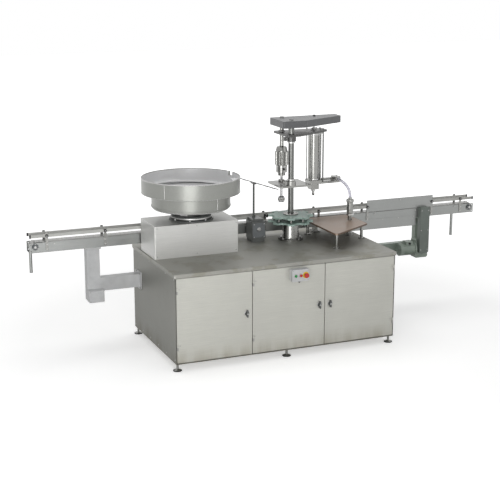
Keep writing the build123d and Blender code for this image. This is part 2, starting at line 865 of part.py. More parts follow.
# Capping motor hung from the yoke on a tube, and the spindle below it
capper_high = beam_low - lift_stroke - 10
capper_low = capper_high - 260
head_height = 50
head_low = guide_low - 12 - head_height - lift_stroke - 3
with BuildPart() as capping_motor:
    turned(
        mast_x,
        conveyor_y,
        [
            (0, capper_low + 50),
            (spindle_radius + 0.3, capper_low + 50),
            (spindle_radius + 0.3, capper_low),
            (34, capper_low),
            (34, capper_low + 24),
            (48, capper_low + 30),
            (48, capper_low + 90),
            (52, capper_low + 90),
            (52, capper_high - 40),
            (44, capper_high - 8),
            (tube_radius, capper_high),
            (tube_radius, yoke_low),
            (0, yoke_low),
        ],
    )
capping_motor.part.label = "capping_motor"
export_step(capping_motor.part, "parts/capping_motor.step")

with BuildPart() as capping_spindle:
    turned(
        mast_x,
        conveyor_y,
        [
            (0, head_low + 20),
            (19, head_low + 20),
            (19, head_low),
            (28, head_low),
            (30, head_low + 6),
            (30, head_low + head_height - 10),
            (20, head_low + head_height),
            (spindle_radius, head_low + head_height),
            (spindle_radius, capper_low + 45),
            (0, capper_low + 45),
        ],
    )
capping_spindle.part.label = "capping_spindle"
export_step(capping_spindle.part, "parts/capping_spindle.step")

# Dosing cylinder between the crossbeam and the valve plate, with its piston on a rod from the yoke
valve_thickness = 16
valve_low = guide_low - 23
valve_high = valve_low + valve_thickness
dosing_radius = 50
dosing_bore = 42
dosing_flange = 60
cap_thickness = 16
stay_offset = 47
dosing_piston_z = valve_high + 30
with BuildPart() as dosing_cylinder:
    for low in (valve_high, beam_low - cap_thickness):
        block(
            dosing_x - dosing_flange,
            dosing_x + dosing_flange,
            conveyor_y - dosing_flange,
            conveyor_y + dosing_flange,
            low,
            low + cap_thickness,
        )
    fillet(dosing_cylinder.edges().filter_by(Axis.Z), 8)
    post(dosing_x, conveyor_y, valve_high, beam_low, dosing_radius)
    for dx in (-stay_offset, stay_offset):
        for dy in (-stay_offset, stay_offset):
            post(dosing_x + dx, conveyor_y + dy, valve_high + 1, beam_low - 1, 5)
    post(dosing_x, conveyor_y, valve_high, beam_low, dosing_bore, mode=Mode.SUBTRACT)
dosing_cylinder.part.label = "dosing_cylinder"
export_step(dosing_cylinder.part, "parts/dosing_cylinder.step")

with BuildPart() as dosing_piston:
    turned(
        dosing_x,
        conveyor_y,
        [
            (0, dosing_piston_z),
            (dosing_bore - running, dosing_piston_z),
            (dosing_bore - running, dosing_piston_z + 24),
            (rod_radius, dosing_piston_z + 24),
            (rod_radius, yoke_low),
            (0, yoke_low),
        ],
    )
dosing_piston.part.label = "dosing_piston"
export_step(dosing_piston.part, "parts/dosing_piston.step")

# Valve plate under the cylinder, with the valve body, the nozzle and the port block of the hose
port_x = 670
port_z = valve_high + 18
port_front = conveyor_y - 60
nozzle_low = 1130
nozzle_radius = 11
with BuildPart() as valve_block:
    block(406, 720, port_front, conveyor_y + 60, valve_low, valve_high)
    fillet(valve_block.edges().filter_by(Axis.Z), 10)
    block(dosing_x - 38, dosing_x + 38, conveyor_y - 38, conveyor_y + 38, valve_low - 52, valve_low)
    post(dosing_x, conveyor_y, nozzle_low, valve_low - 52, nozzle_radius)
    block(port_x - 30, port_x + 30, port_front, conveyor_y + 20, valve_high, valve_high + 36)
    bar_along_x(conveyor_y - 10, port_z, dosing_x + dosing_flange + 5, port_x - 30, 10)
    post(dosing_x, conveyor_y, nozzle_low, valve_high, 7, mode=Mode.SUBTRACT)
valve_block.part.label = "valve_block"
export_step(valve_block.part, "parts/valve_block.step")

ties = []
for y in tie_y:
    with BuildPart() as tie_rod:
        post(tie_x, y, valve_high, beam_low, 7)
    ties.append(tie_rod.part)
export_group("tie_rods", ties)

# Supply line: the pipe from the inlet at the back, the strainer above the deck and the clear hose
inlet_y = cabinet_back + front_reach
strainer_low = 985
strainer_high = 1130
strainer_radius = 32
hose_radius = 13
hose_bore = 10
with BuildPart() as supply_pipe:
    with BuildLine() as pipe_line:
        FilletPolyline(
            (supply_x, inlet_y, supply_z),
            (supply_x, supply_y, supply_z),
            (supply_x, supply_y, strainer_low),
            radius=70,
        )
    with BuildSketch(Plane(origin=(supply_x, inlet_y, supply_z), z_dir=(0, -1, 0))):
        Circle(supply_pipe_radius)
        Circle(supply_pipe_radius - supply_wall, mode=Mode.SUBTRACT)
    sweep()
    with BuildSketch(Plane(origin=(supply_x, inlet_y, supply_z), z_dir=(0, -1, 0))):
        Circle(32)
        Circle(supply_pipe_radius - supply_wall, mode=Mode.SUBTRACT)
    extrude(amount=8)
    with BuildSketch(Plane(origin=(supply_x, cabinet_back, supply_z), z_dir=(0, 1, 0))):
        Circle(36)
        Circle(supply_pipe_radius - 0.5, mode=Mode.SUBTRACT)
    extrude(amount=5)
supply_pipe.part.label = "supply_pipe"
export_step(supply_pipe.part, "parts/supply_pipe.step")

with BuildPart() as strainer:
    turned(
        supply_x,
        supply_y,
        [
            (0, strainer_low),
            (22, strainer_low),
            (22, strainer_low + 12),
            (strainer_radius - 4, strainer_low + 16),
            (strainer_radius - 4, strainer_high - 34),
            (strainer_radius, strainer_high - 30),
            (strainer_radius, strainer_high - 8),
            (18, strainer_high),
            (0, strainer_high),
        ],
    )
strainer.part.label = "strainer"
export_step(strainer.part, "parts/strainer.step")

hose_points = [
    (supply_x, supply_y, strainer_high),
    (supply_x, supply_y, strainer_high + 75),
    (port_x, supply_y + 120, port_z),
    (port_x, port_front, port_z),
]


def run_length(start, end):
    """The straight distance between two points."""
    return (Vector(*end) - Vector(*start)).length


hose_radii = []
for before, corner, after in zip(hose_points, hose_points[1:], hose_points[2:]):
    arriving = Vector(*corner) - Vector(*before)
    leaving = Vector(*after) - Vector(*corner)
    turn = radians(arriving.get_angle(leaving))
    hose_radii.append(0.45 * min(arriving.length, leaving.length) / tan(turn / 2))
print("hose arc radii", [round(radius, 1) for radius in hose_radii])
with BuildPart() as supply_hose:
    with BuildLine():
        FilletPolyline(*hose_points, radius=hose_radii)
    with BuildSketch(Plane(origin=hose_points[0], z_dir=(0, 0, 1))):
        Circle(hose_radius)
        Circle(hose_bore, mode=Mode.SUBTRACT)
    sweep()
supply_hose.part.label = "supply_hose"
export_step(supply_hose.part, "parts/supply_hose.step")

# Loading table at belt height: a brown board with a slanting front, on four posts
table_thickness = 14
table_left = mast_x + 180
table_right = cabinet_right - 5
table_back = conveyor_y - plate_out - 12
table_short = 396
table_long = 666
table_outline = [
    (table_left, table_back),
    (table_right, table_back),
    (table_right, table_back - table_short),
    (table_left, table_back - table_long),
]
table_legs = [
    (table_left + 35, table_back - 31),
    (table_right - 30, table_back - 31),
    (table_right - 30, table_back - table_short + 50),
    (table_left + 35, table_back - table_long + 65),
]
with BuildPart() as loading_table:
    with BuildSketch(Plane.XY.offset(belt_top - table_thickness)):
        Polygon(*table_outline, align=None)
    extrude(amount=table_thickness)
    fillet(loading_table.edges().filter_by(Axis.Z), 18)
    post(supply_x, supply_y, 900, belt_top, supply_pipe_radius + pipe_clearance, mode=Mode.SUBTRACT)
loading_table.part.label = "loading_table"
export_step(loading_table.part, "parts/loading_table.step")
legs = []
for x, y in table_legs:
    with BuildPart() as table_leg:
        post(x, y, deck_top, belt_top - table_thickness, 13)
        post(x, y, deck_top, deck_top + 6, 28)
    legs.append(table_leg.part)
export_group("table_legs", legs)

# Conveyor: side plates with cross spacers
plate_low = belt_top - 6 - side_plate_height
plate_high = plate_low + side_plate_height
wheel_radius = slats_round_wheel * slat_pitch / (2 * pi) - slat_thickness / 2
wheel_z = belt_top - slat_thickness - wheel_radius
wheel_room = 2 * (wheel_radius + slat_thickness + chain_end_clearance)
slats_on_top = int((conveyor_length - wheel_room) / slat_pitch)
wheel_reach = slats_on_top * slat_pitch / 2
drive_x = conveyor_right - 545
wheel_x = [-wheel_reach, drive_x, wheel_reach]
spacer_count = 10
spacer_step = (conveyor_length - 410) / (spacer_count - 1)
spacer_x = [conveyor_left + 205 + i * spacer_step for i in range(spacer_count)]
end_hole_inset = 14
end_hole_radius = 4.5
end_hole_z = [plate_low + 15, plate_high - 15]
frame_pieces = []
for side in (-1, 1):
    with BuildPart() as side_wall:
        inner_y = conveyor_y + side * lane_half
        outer_y = conveyor_y + side * plate_out
        block(conveyor_left, conveyor_right, *sorted((inner_y, outer_y)), plate_low, plate_high)
        for x in wheel_x:
            bar_along_y(x, wheel_z, *sorted((inner_y, outer_y)), shaft_radius + 4, mode=Mode.SUBTRACT)
        for x in (conveyor_left + end_hole_inset, conveyor_right - end_hole_inset):
            for z in end_hole_z:
                bar_along_y(x, z, *sorted((inner_y, outer_y)), end_hole_radius, mode=Mode.SUBTRACT)
    frame_pieces.append(side_wall.part)
strip_low = belt_top - slat_thickness - 6
for x in spacer_x:
    with BuildPart() as cross_spacer:
        block(x - 8, x + 8, conveyor_y - lane_half, conveyor_y + lane_half, strip_low - 24, strip_low)
    frame_pieces.append(cross_spacer.part)
export_group("conveyor_frame", frame_pieces)

# Two wear strips under the upper run of the chain
strips = []
for side in (-1, 1):
    with BuildPart() as wear_strip:
        near = conveyor_y + side * 22
        far = conveyor_y + side * 40
        block(spacer_x[0] - 90, spacer_x[-1] + 90, *sorted((near, far)), strip_low, strip_low + 6)
    strips.append(wear_strip.part)
export_group("wear_strips", strips)

# Slat chain: one closed loop, grooved across at every slat joint
groove = 1.5
loop_inner = wheel_radius + 0.3
loop_outer = wheel_radius + slat_thickness
upper_edge = []
lower_edge = []
for i in range(slats_on_top):
    joint = -wheel_reach + (i + 0.5) * slat_pitch
    for dx, depth in ((-groove, 0), (0, groove), (groove, 0)):
        upper_edge.append((joint + dx, wheel_z + loop_outer - depth))
        lower_edge.append((joint + dx, wheel_z - loop_outer + depth))
with BuildPart() as slat_chain:
    with BuildSketch(Plane.XZ.offset(-(conveyor_y + belt_width / 2))):
        with BuildLine():
            top_left = (-wheel_reach, wheel_z + loop_outer)
            top_right = (wheel_reach, wheel_z + loop_outer)
            low_left = (-wheel_reach, wheel_z - loop_outer)
            low_right = (wheel_reach, wheel_z - loop_outer)
            Polyline(top_left, *upper_edge, top_right)
            ThreePointArc(top_right, (wheel_reach + loop_outer, wheel_z), low_right)
            Polyline(low_right, *lower_edge[::-1], low_left)
            ThreePointArc(low_left, (-wheel_reach - loop_outer, wheel_z), top_left)
        make_face()
        with Locations((0, wheel_z)):
            SlotCenterToCenter(2 * wheel_reach, 2 * loop_inner, mode=Mode.SUBTRACT)
    extrude(amount=belt_width)
slat_chain.part.label = "slat_chain"
export_step(slat_chain.part, "parts/slat_chain.step")

# Chain wheels on their shafts: one at each end and the driven one over the gear motor
bearing_thickness = 14
shaft_reach = plate_out + bearing_thickness + 3
guard_depth = 48
for name, x in zip(("left_end_wheel", "drive_wheel", "right_end_wheel"), wheel_x):
    with BuildPart() as wheel:
        bar_along_y(x, wheel_z, conveyor_y - 18, conveyor_y + 18, wheel_radius)
        bar_along_y(x, wheel_z, conveyor_y - shaft_reach, conveyor_y + shaft_reach, shaft_radius)
        if name == "drive_wheel":
            sprocket_end = conveyor_y - plate_out - bearing_thickness - 4
            bar_along_y(x, wheel_z, sprocket_end - 12, sprocket_end, 32)
            bar_along_y(x, wheel_z, sprocket_end - 14, sprocket_end + 5, shaft_radius)
    wheel.part.label = name
    export_step(wheel.part, f"parts/{name}.step")

bearings = []
for x in wheel_x:
    for side in (-1, 1):
        with BuildPart() as bearing:
            near = conveyor_y + side * plate_out
            far = near + side * bearing_thickness
            bar_along_y(x, wheel_z, *sorted((near, near + side * 6)), 27)
            bar_along_y(x, wheel_z, *sorted((near, far)), 19)
            bar_along_y(x, wheel_z, *sorted((near, far)), shaft_radius + running, mode=Mode.SUBTRACT)
        bearings.append(bearing.part)
export_group("shaft_bearings", bearings)

# Guide rails on both sides of the bottle lane, and the uprights that carry them
rail_inner = bottle_radius + pocket_play
rail_low = 975
rail_high = 1000
rail_ends = [
    (-1, conveyor_left + 10, mast_x - 155),
    (-1, mast_x + 155, conveyor_right - 10),
    (1, conveyor_left + 10, conveyor_right - 10),
]
rails = []
for side, x0, x1 in rail_ends:
    with BuildPart() as guide_rail:
        near = conveyor_y + side * rail_inner
        far = conveyor_y + side * plate_out
        block(x0, x1, *sorted((near, far)), rail_low, rail_high)
    rails.append(guide_rail.part)
export_group("guide_rails", rails)

bracket_step = (conveyor_length - 290) / 8
bracket_x = [conveyor_left + 145 + i * bracket_step for i in range(9)]
front_bracket_x = [x for x in bracket_x if abs(x - mast_x) > 300 and abs(x - drive_x) > 120]
bracket_places = [(1, x) for x in bracket_x]
bracket_places += [(-1, x) for x in front_bracket_x + [mast_x - 180, mast_x + 180, drive_x + 90]]
brackets = []
for side, x in bracket_places:
    with BuildPart() as rail_bracket:
        near = conveyor_y + side * plate_out
        far = near + side * 5
        block(x - 11, x + 11, *sorted((near, far)), plate_low + 14, rail_high + 12)
        fillet(rail_bracket.edges().filter_by(Axis.Y), 4)
        bar_along_y(x, rail_high - 12, *sorted((far, far + side * 10)), 9)
    brackets.append(rail_bracket.part)
export_group("rail_brackets", brackets)

# Drip tray under the chain, with a drain tube near each end
drain_places = [(conveyor_left + 17, 677), (conveyor_right - 200, 634)]
drain_radius = 13
drain_bore = 11
with BuildPart() as tray_floor:
    block(
        conveyor_left + 3,
        conveyor_right - 3,
        conveyor_y - lane_half,
        conveyor_y + lane_half,
        plate_low,
        plate_low + 2,
    )
    for x, low in drain_places:
        post(x, conveyor_y, plate_low, plate_low + 2, drain_bore, mode=Mode.SUBTRACT)
drains = [tray_floor.part]
for x, low in drain_places:
    with BuildPart() as drain:
        post(x, conveyor_y, low, plate_low, drain_radius)
        post(x, conveyor_y, low, plate_low, drain_bore, mode=Mode.SUBTRACT)
    drains.append(drain.part)
export_group("drip_tray", drains)

# Stands between the deck and the conveyor
stands = []
for x in (cabinet_left + 90, mast_x - 610, mast_x + 330):
    with BuildPart() as stand:
        block(x - 35, x + 35, conveyor_y - plate_out, conveyor_y + plate_out, deck_top, deck_top + 6)
        block(x - 35, x + 35, conveyor_y - plate_out, conveyor_y + plate_out, plate_low - 6, plate_low)
        block(x - 3, x + 3, conveyor_y - plate_out, conveyor_y + plate_out, deck_top + 6, plate_low - 6)
    stands.append(stand.part)
export_group("conveyor_stands", stands)

# Left support: a hollow arm from the side panel, a hollow upright and a small junction box at its foot
saddle_plate = 8
left_post_x = conveyor_left + 530
post_half = 55
post_foot = 392
arm_half = 40
arm_low = 469
arm_high = 582
left_solids = []
with BuildPart() as left_upright:
    block(
        left_post_x - post_half,
        left_post_x + post_half,
        conveyor_y - arm_half,
        conveyor_y + arm_half,
        post_foot,
        plate_low - saddle_plate,
    )
    block(
        left_post_x - post_half + 3,
        left_post_x + post_half - 3,
        conveyor_y - arm_half + 3,
        conveyor_y + arm_half - 3,
        post_foot + 3,
        plate_low - saddle_plate,
        mode=Mode.SUBTRACT,
    )
left_solids.append(left_upright.part)
with BuildPart() as left_saddle:
    block(
        left_post_x - post_half - 10,
        left_post_x + post_half + 10,
        conveyor_y - plate_out,
        conveyor_y + plate_out,
        plate_low - saddle_plate,
        plate_low,
    )
left_solids.append(left_saddle.part)
with BuildPart() as left_arm:
    block(
        left_post_x + post_half,
        cabinet_left - 8,
        conveyor_y - arm_half,
        conveyor_y + arm_half,
        arm_low,
        arm_high,
    )
    block(
        left_post_x + post_half,
        cabinet_left - 8,
        conveyor_y - arm_half + 3,
        conveyor_y + arm_half - 3,
        arm_low + 3,
        arm_high - 3,
        mode=Mode.SUBTRACT,
    )
left_solids.append(left_arm.part)
with BuildPart() as left_flange:
    block(cabinet_left - 8, cabinet_left, conveyor_y - 75, conveyor_y + 75, arm_low - 20, arm_high + 20)
    chamfer(left_flange.edges().filter_by(Axis.X), 12)
left_solids.append(left_flange.part)
with BuildPart() as junction_box:
    block(
        left_post_x - post_half - 6,
        left_post_x + post_half + 14,
        conveyor_y - arm_half - 70,
        conveyor_y - arm_half,
        post_foot,
        post_foot + 100,
    )
    fillet(junction_box.edges().filter_by(Axis.Y), 6)
    chamfer(junction_box.faces().sort_by(Axis.Y)[0].edges(), 2)
left_solids.append(junction_box.part)
export_group("left_support", left_solids)

# Right support: a hollow arm and a hollow upright behind the gear motor
arm_y0 = conveyor_y + 30
arm_y1 = conveyor_y + 90
right_low = 500
right_high = 600
saddle_half = 62
right_solids = []
with BuildPart() as right_arm:
    arm_start = cabinet_right + 8
    block(arm_start, drive_x + 40, arm_y0, arm_y1, right_low, right_high)
    block(arm_start, drive_x + 37, arm_y0 + 3, arm_y1 - 3, right_low + 3, right_high - 3, mode=Mode.SUBTRACT)
right_solids.append(right_arm.part)
with BuildPart() as right_flange:
    block(cabinet_right, cabinet_right + 8, arm_y0 - 30, arm_y1 + 25, right_low - 20, right_high + 20)
    chamfer(right_flange.edges().filter_by(Axis.X), 12)
right_solids.append(right_flange.part)
saddle_low = plate_low - saddle_plate
with BuildPart() as right_upright:
    block(drive_x - 25, drive_x + 35, arm_y0, arm_y1, right_high, saddle_low)
    block(drive_x - 22, drive_x + 32, arm_y0 + 3, arm_y1 - 3, right_high, saddle_low, mode=Mode.SUBTRACT)
right_solids.append(right_upright.part)
with BuildPart() as right_saddle:
    saddle_front = conveyor_y - plate_out
    block(drive_x - saddle_half, drive_x + saddle_half, saddle_front, arm_y1, saddle_low, plate_low)
right_solids.append(right_saddle.part)
export_group("right_support", right_solids)

# Gear motor on the front of the arm, and the closed guard of the chain up to the driven shaft
gear_front = conveyor_y - plate_out
gear_z = 550
gear_half = 65
gear_height = 90
motor_y = conveyor_y - 30
motor_length = 165
terminal_half = 35
terminal_top = gear_z + 76
with BuildPart() as gear_motor:
    gear_left = drive_x - gear_half
    block(gear_left, drive_x + gear_half, gear_front, arm_y0, gear_z - gear_height, gear_z + gear_height)
    chamfer(gear_motor.edges().filter_by(Axis.Y), 10)
    finned_motor(motor_y, gear_z, gear_left - motor_length, gear_left, arm_y0 - motor_y)
    terminal_x = gear_left - 70
    block(
        terminal_x - terminal_half,
        terminal_x + terminal_half,
        motor_y - 36,
        motor_y + 36,
        gear_z + 40,
        terminal_top,
    )
gear_motor.part.label = "gear_motor"
export_step(gear_motor.part, "parts/gear_motor.step")

guard_wall = 2
guard_half = 48
guard_low = 510
guard_high = wheel_z + guard_half
with BuildPart() as drive_guard:
    guard_front = gear_front - guard_depth
    block(drive_x - guard_half, drive_x + guard_half, guard_front, gear_front, guard_low, guard_high)
    fillet(drive_guard.edges().filter_by(Axis.Y), 24)
    offset(amount=-guard_wall, mode=Mode.SUBTRACT)
    bar_along_y(drive_x, wheel_z, gear_front - guard_wall - 1, gear_front, 29, mode=Mode.SUBTRACT)
drive_guard.part.label = "drive_guard"
export_step(drive_guard.part, "parts/drive_guard.step")
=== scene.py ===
import math

import bmesh
import bpy
import numpy as np
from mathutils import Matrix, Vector


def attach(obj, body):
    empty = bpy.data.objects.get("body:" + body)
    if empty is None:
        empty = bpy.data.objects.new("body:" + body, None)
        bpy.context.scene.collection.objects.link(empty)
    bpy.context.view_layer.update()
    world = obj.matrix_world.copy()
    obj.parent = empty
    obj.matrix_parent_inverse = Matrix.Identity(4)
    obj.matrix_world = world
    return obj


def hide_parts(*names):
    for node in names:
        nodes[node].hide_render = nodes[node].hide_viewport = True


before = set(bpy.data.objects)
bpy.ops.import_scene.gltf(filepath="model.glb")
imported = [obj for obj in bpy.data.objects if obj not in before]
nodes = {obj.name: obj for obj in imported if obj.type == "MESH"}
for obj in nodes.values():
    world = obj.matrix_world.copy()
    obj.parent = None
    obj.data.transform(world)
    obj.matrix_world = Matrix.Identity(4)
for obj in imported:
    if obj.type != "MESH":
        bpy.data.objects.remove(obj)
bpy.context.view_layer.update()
scene = bpy.context.scene
print("frame loaded:", len(nodes), "nodes")

# every place and size below is in millimetres, as in the drawing; newPiece turns them into metres
up, down, front, back, left, right = (0, 0, 1), (0, 0, -1), (0, -1, 0), (0, 1, 0), (-1, 0, 0), (1, 0, 0)
finishes, finishSlots = {}, {}


# Mesh tools
def newPiece(name, points, faces, body, finish, sharpAngle=32):
    # a mesh object at the origin, in place in its mesh, riding on a body
    mesh = bpy.data.meshes.new(name)
    mesh.from_pydata((np.asarray(points, float).reshape(-1, 3) / 1000).tolist(), [], faces)
    weld(mesh)
    mesh.shade_smooth()
    mesh.set_sharp_from_angle(angle=math.radians(sharpAngle))
    mesh.materials.append(finishes[finish])
    piece = bpy.data.objects.new(name, mesh)
    scene.collection.objects.link(piece)
    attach(piece, body)
    return piece


def weld(mesh, distance=1e-5):
    # poles and seams that lie on top of each other become one, and the faces are turned outwards
    work = bmesh.new()
    work.from_mesh(mesh)
    bmesh.ops.remove_doubles(work, verts=work.verts, dist=distance)
    bmesh.ops.recalc_face_normals(work, faces=work.faces)
    work.to_mesh(mesh)
    work.free()


def gridFaces(rows, columns, wrapRows=False, wrapColumns=False, start=0):
    # quads of a grid of points, row after row; a wrapped side joins its last line to its first
    i = np.arange(rows if wrapRows else rows - 1)[:, None]
    j = np.arange(columns if wrapColumns else columns - 1)[None, :]
    iNext, jNext = (i + 1) % rows, (j + 1) % columns
    quads = np.stack([i * columns + j, i * columns + jNext, iNext * columns + jNext, iNext * columns + j], -1)
    return (quads.reshape(-1, 4) + start).tolist()


def turnedPoints(profile, segments):
    # each row (radius, height, sides) goes round the Z axis; a row with sides keeps its radius at the
    # middle of each flat: r(a) = radius / cos(a mod (2 pi / sides) - pi / sides)
    rows = np.asarray([(*row, 0)[:3] for row in profile], float)
    angle = np.arange(segments) * 2 * math.pi / segments
    radius = np.repeat(rows[:, 0, None], segments, 1)
    for sides in set(rows[:, 2]) - {0}:
        flats = np.cos(np.mod(angle, 2 * math.pi / sides) - math.pi / sides)
        radius = np.where(rows[:, 2, None] == sides, radius / flats, radius)
    return np.stack([radius * np.cos(angle), radius * np.sin(angle), np.repeat(rows[:, 1, None], segments, 1)], -1)


def aim(points, place, direction=up):
    # turns points made about +Z so that they stand along a direction, at a place
    turn = np.array(Vector(up).rotation_difference(Vector(direction)).to_matrix())
    return np.asarray(points) @ turn.T + np.asarray(place, float)


def repeatForm(name, form, places, body, finish, direction=up, wrapRows=False):
    # one grid of points, closed round its columns, that stands at every place, in a single mesh
    rows, columns = form.shape[:2]
    points, faces = [], []
    for place in places:
        faces += gridFaces(rows, columns, wrapRows, True, start=len(points) * rows * columns)
        points.append(aim(form.reshape(-1, 3), place, direction))
    return newPiece(name, np.concatenate(points), faces, body, finish)


def turnedPiece(name, profile, places, body, finish, direction=up, segments=48, hollow=False):
    # a solid's profile runs from axis to axis, bottom first; a hollow one's is a closed loop off the axis
    return repeatForm(name, turnedPoints(profile, segments), places, body, finish, direction, hollow)


def ribbedRing(name, size, places, body, finish, direction=up):
    # a ring whose outside is ribbed round the axis: r(a) = radius + depth * ((1 + cos(ribs * a)) / 2) ^ power
    ribs, radius, depth, inner, height = (size[key] for key in ("ribs", "radius", "depth", "inner", "height"))
    angle = np.arange(ribs * 8) * 2 * math.pi / (ribs * 8)
    wave = ((1 + np.cos(ribs * angle)) / 2) ** size.get("power", 1)
    edge = min(1.0, height / 6)
    levels = ((inner, 0, 0), (radius - edge, 0, 0.6), (radius, edge, 1), (radius, height - edge, 1),
              (radius - edge, height, 0.6), (inner, height, 0))
    rows = [np.stack([(r + depth * share * wave) * np.cos(angle), (r + depth * share * wave) * np.sin(angle),
                      np.full_like(angle, z)], -1) for r, z, share in levels]
    return repeatForm(name, np.stack(rows), places, body, finish, direction, wrapRows=True)


def boxPiece(name, boxes, body, finish, bevel=1.5, segments=2):
    # boxes given as (low corner, high corner), in one mesh, with rounded edges
    corner = np.array([[0, 0, 0], [1, 0, 0], [1, 1, 0], [0, 1, 0], [0, 0, 1], [1, 0, 1], [1, 1, 1], [0, 1, 1]])
    quads = np.array([[0, 3, 2, 1], [4, 5, 6, 7], [0, 1, 5, 4], [1, 2, 6, 5], [2, 3, 7, 6], [3, 0, 4, 7]])
    boxes = np.sort(np.asarray(boxes, float), axis=1)
    points = boxes[:, :1] + corner[None] * (boxes[:, 1:] - boxes[:, :1])
    faces = (quads[None] + 8 * np.arange(len(boxes))[:, None, None]).reshape(-1, 4).tolist()
    piece = newPiece(name, points, faces, body, finish, sharpAngle=180)
    rounding = piece.modifiers.new("edges", "BEVEL")
    rounding.width = bevel / 1000
    rounding.segments = segments
    rounding.harden_normals = True
    return piece


def sweptPiece(name, paths, section, body, finish, normal=up, closed=False):
    # a closed outline carried along each path: point = path + u * side + v * rise,
    # where side = direction x normal and rise = side x direction
    section = np.asarray(section, float)
    points, faces, count = [], [], 0
    for path in paths:
        path = np.asarray(path, float)
        direction = np.roll(path, -1, 0) - np.roll(path, 1, 0) if closed else np.gradient(path, axis=0)
        direction /= np.linalg.norm(direction, axis=1)[:, None]
        side = np.cross(direction, normal)
        side /= np.linalg.norm(side, axis=1)[:, None]
        rise = np.cross(side, direction)
        ring = path[:, None] + section[None, :, :1] * side[:, None] + section[None, :, 1:] * rise[:, None]
        rows, columns = len(path), len(section)
        faces += gridFaces(rows, columns, wrapRows=closed, wrapColumns=True, start=count)
        if not closed:
            faces += [list(range(count, count + columns)),
                      list(range(count + (rows - 1) * columns, count + rows * columns))]
        points.append(ring.reshape(-1, 3))
        count += rows * columns
    return newPiece(name, np.concatenate(points), faces, body, finish)


def circle(radius, count=10):
    angle = np.arange(count) * 2 * math.pi / count
    return np.stack([radius * np.cos(angle), radius * np.sin(angle)], -1)


def ring(x, y, z, radius, count, start=0.0):
    # places on a level circle
    angle = np.radians(start) + np.arange(count) * 2 * math.pi / count
    return np.stack([x + radius * np.cos(angle), y + radius * np.sin(angle), np.full(count, float(z))], -1)


def roundedLoop(x0, x1, z0, z1, y, radius, steps=5):
    # a rectangle in an upright plane at y, with its corners as arcs
    turn = np.radians(np.linspace(0, 90, steps))
    corners = ((x1 - radius, z1 - radius, 0), (x0 + radius, z1 - radius, 90),
               (x0 + radius, z0 + radius, 180), (x1 - radius, z0 + radius, 270))
    arcs = [np.stack([x + radius * np.cos(turn + math.radians(a)), np.full(steps, float(y)),
                      z + radius * np.sin(turn + math.radians(a))], -1) for x, z, a in corners]
    return np.concatenate(arcs)


def spread(start, end, count):
    # evenly spaced places from one point to another
    return np.linspace(start, end, count)


# Materials
def makeMaterial(name, color, roughness, metallic=0.0):
    material = bpy.data.materials.new(name)
    material.use_nodes = True
    tree = material.node_tree
    shader = tree.nodes["Principled BSDF"]
    shader.inputs["Base Color"].default_value = (*color, 1)
    shader.inputs["Roughness"].default_value = roughness
    shader.inputs["Metallic"].default_value = metallic
    return material, tree, shader


def addNode(tree, kind, **settings):
    node = tree.nodes.new(kind)
    for key, value in settings.items():
        if key in node.inputs:
            node.inputs[key].default_value = value
        else:
            setattr(node, key, value)
    return node


def objectNoise(tree, stretch, scale, detail=3.0, roughness=0.55):
    # noise on the object's own coordinates, drawn out along the axes with a small stretch value
    place = addNode(tree, "ShaderNodeTexCoord")
    mapping = addNode(tree, "ShaderNodeMapping")
    mapping.inputs["Scale"].default_value = stretch
    noise = addNode(tree, "ShaderNodeTexNoise")
    noise.inputs["Scale"].default_value = scale
    noise.inputs["Detail"].default_value = detail
    noise.inputs["Roughness"].default_value = roughness
    tree.links.new(place.outputs["Object"], mapping.inputs["Vector"])
    tree.links.new(mapping.outputs["Vector"], noise.inputs["Vector"])
    return noise.outputs["Fac"]


def ramp(tree, source, stops):
    node = addNode(tree, "ShaderNodeValToRGB")
    tree.links.new(source, node.inputs["Fac"])
    elements = node.color_ramp.elements
    while len(elements) < len(stops):
        elements.new(0.5)
    for element, (position, color) in zip(elements, stops):
        element.position = position
        element.color = color if len(color) == 4 else (*color, 1)
    return node.outputs["Color"]


def grey(value):
    return (value, value, value)


def mixColor(tree, factor, first, second, blend="MIX"):
    node = addNode(tree, "ShaderNodeMix", data_type="RGBA", blend_type=blend)
    for socket, value in ((node.inputs[0], factor), (node.inputs[6], first), (node.inputs[7], second)):
        if isinstance(value, bpy.types.NodeSocket):
            tree.links.new(value, socket)
        elif isinstance(value, (int, float)):
            socket.default_value = value
        else:
            socket.default_value = (*value, 1)
    return node.outputs[2]


def addBump(tree, shader, sources):
    # sources: (height, strength, distance in metres), the first one lies lowest
    normal = None
    for height, strength, distance in sources:
        bump = addNode(tree, "ShaderNodeBump")
        bump.inputs["Strength"].default_value = strength
        bump.inputs["Distance"].default_value = distance
        tree.links.new(height, bump.inputs["Height"])
        if normal:
            tree.links.new(normal, bump.inputs["Normal"])
        normal = bump.outputs["Normal"]
    tree.links.new(normal, shader.inputs["Normal"])


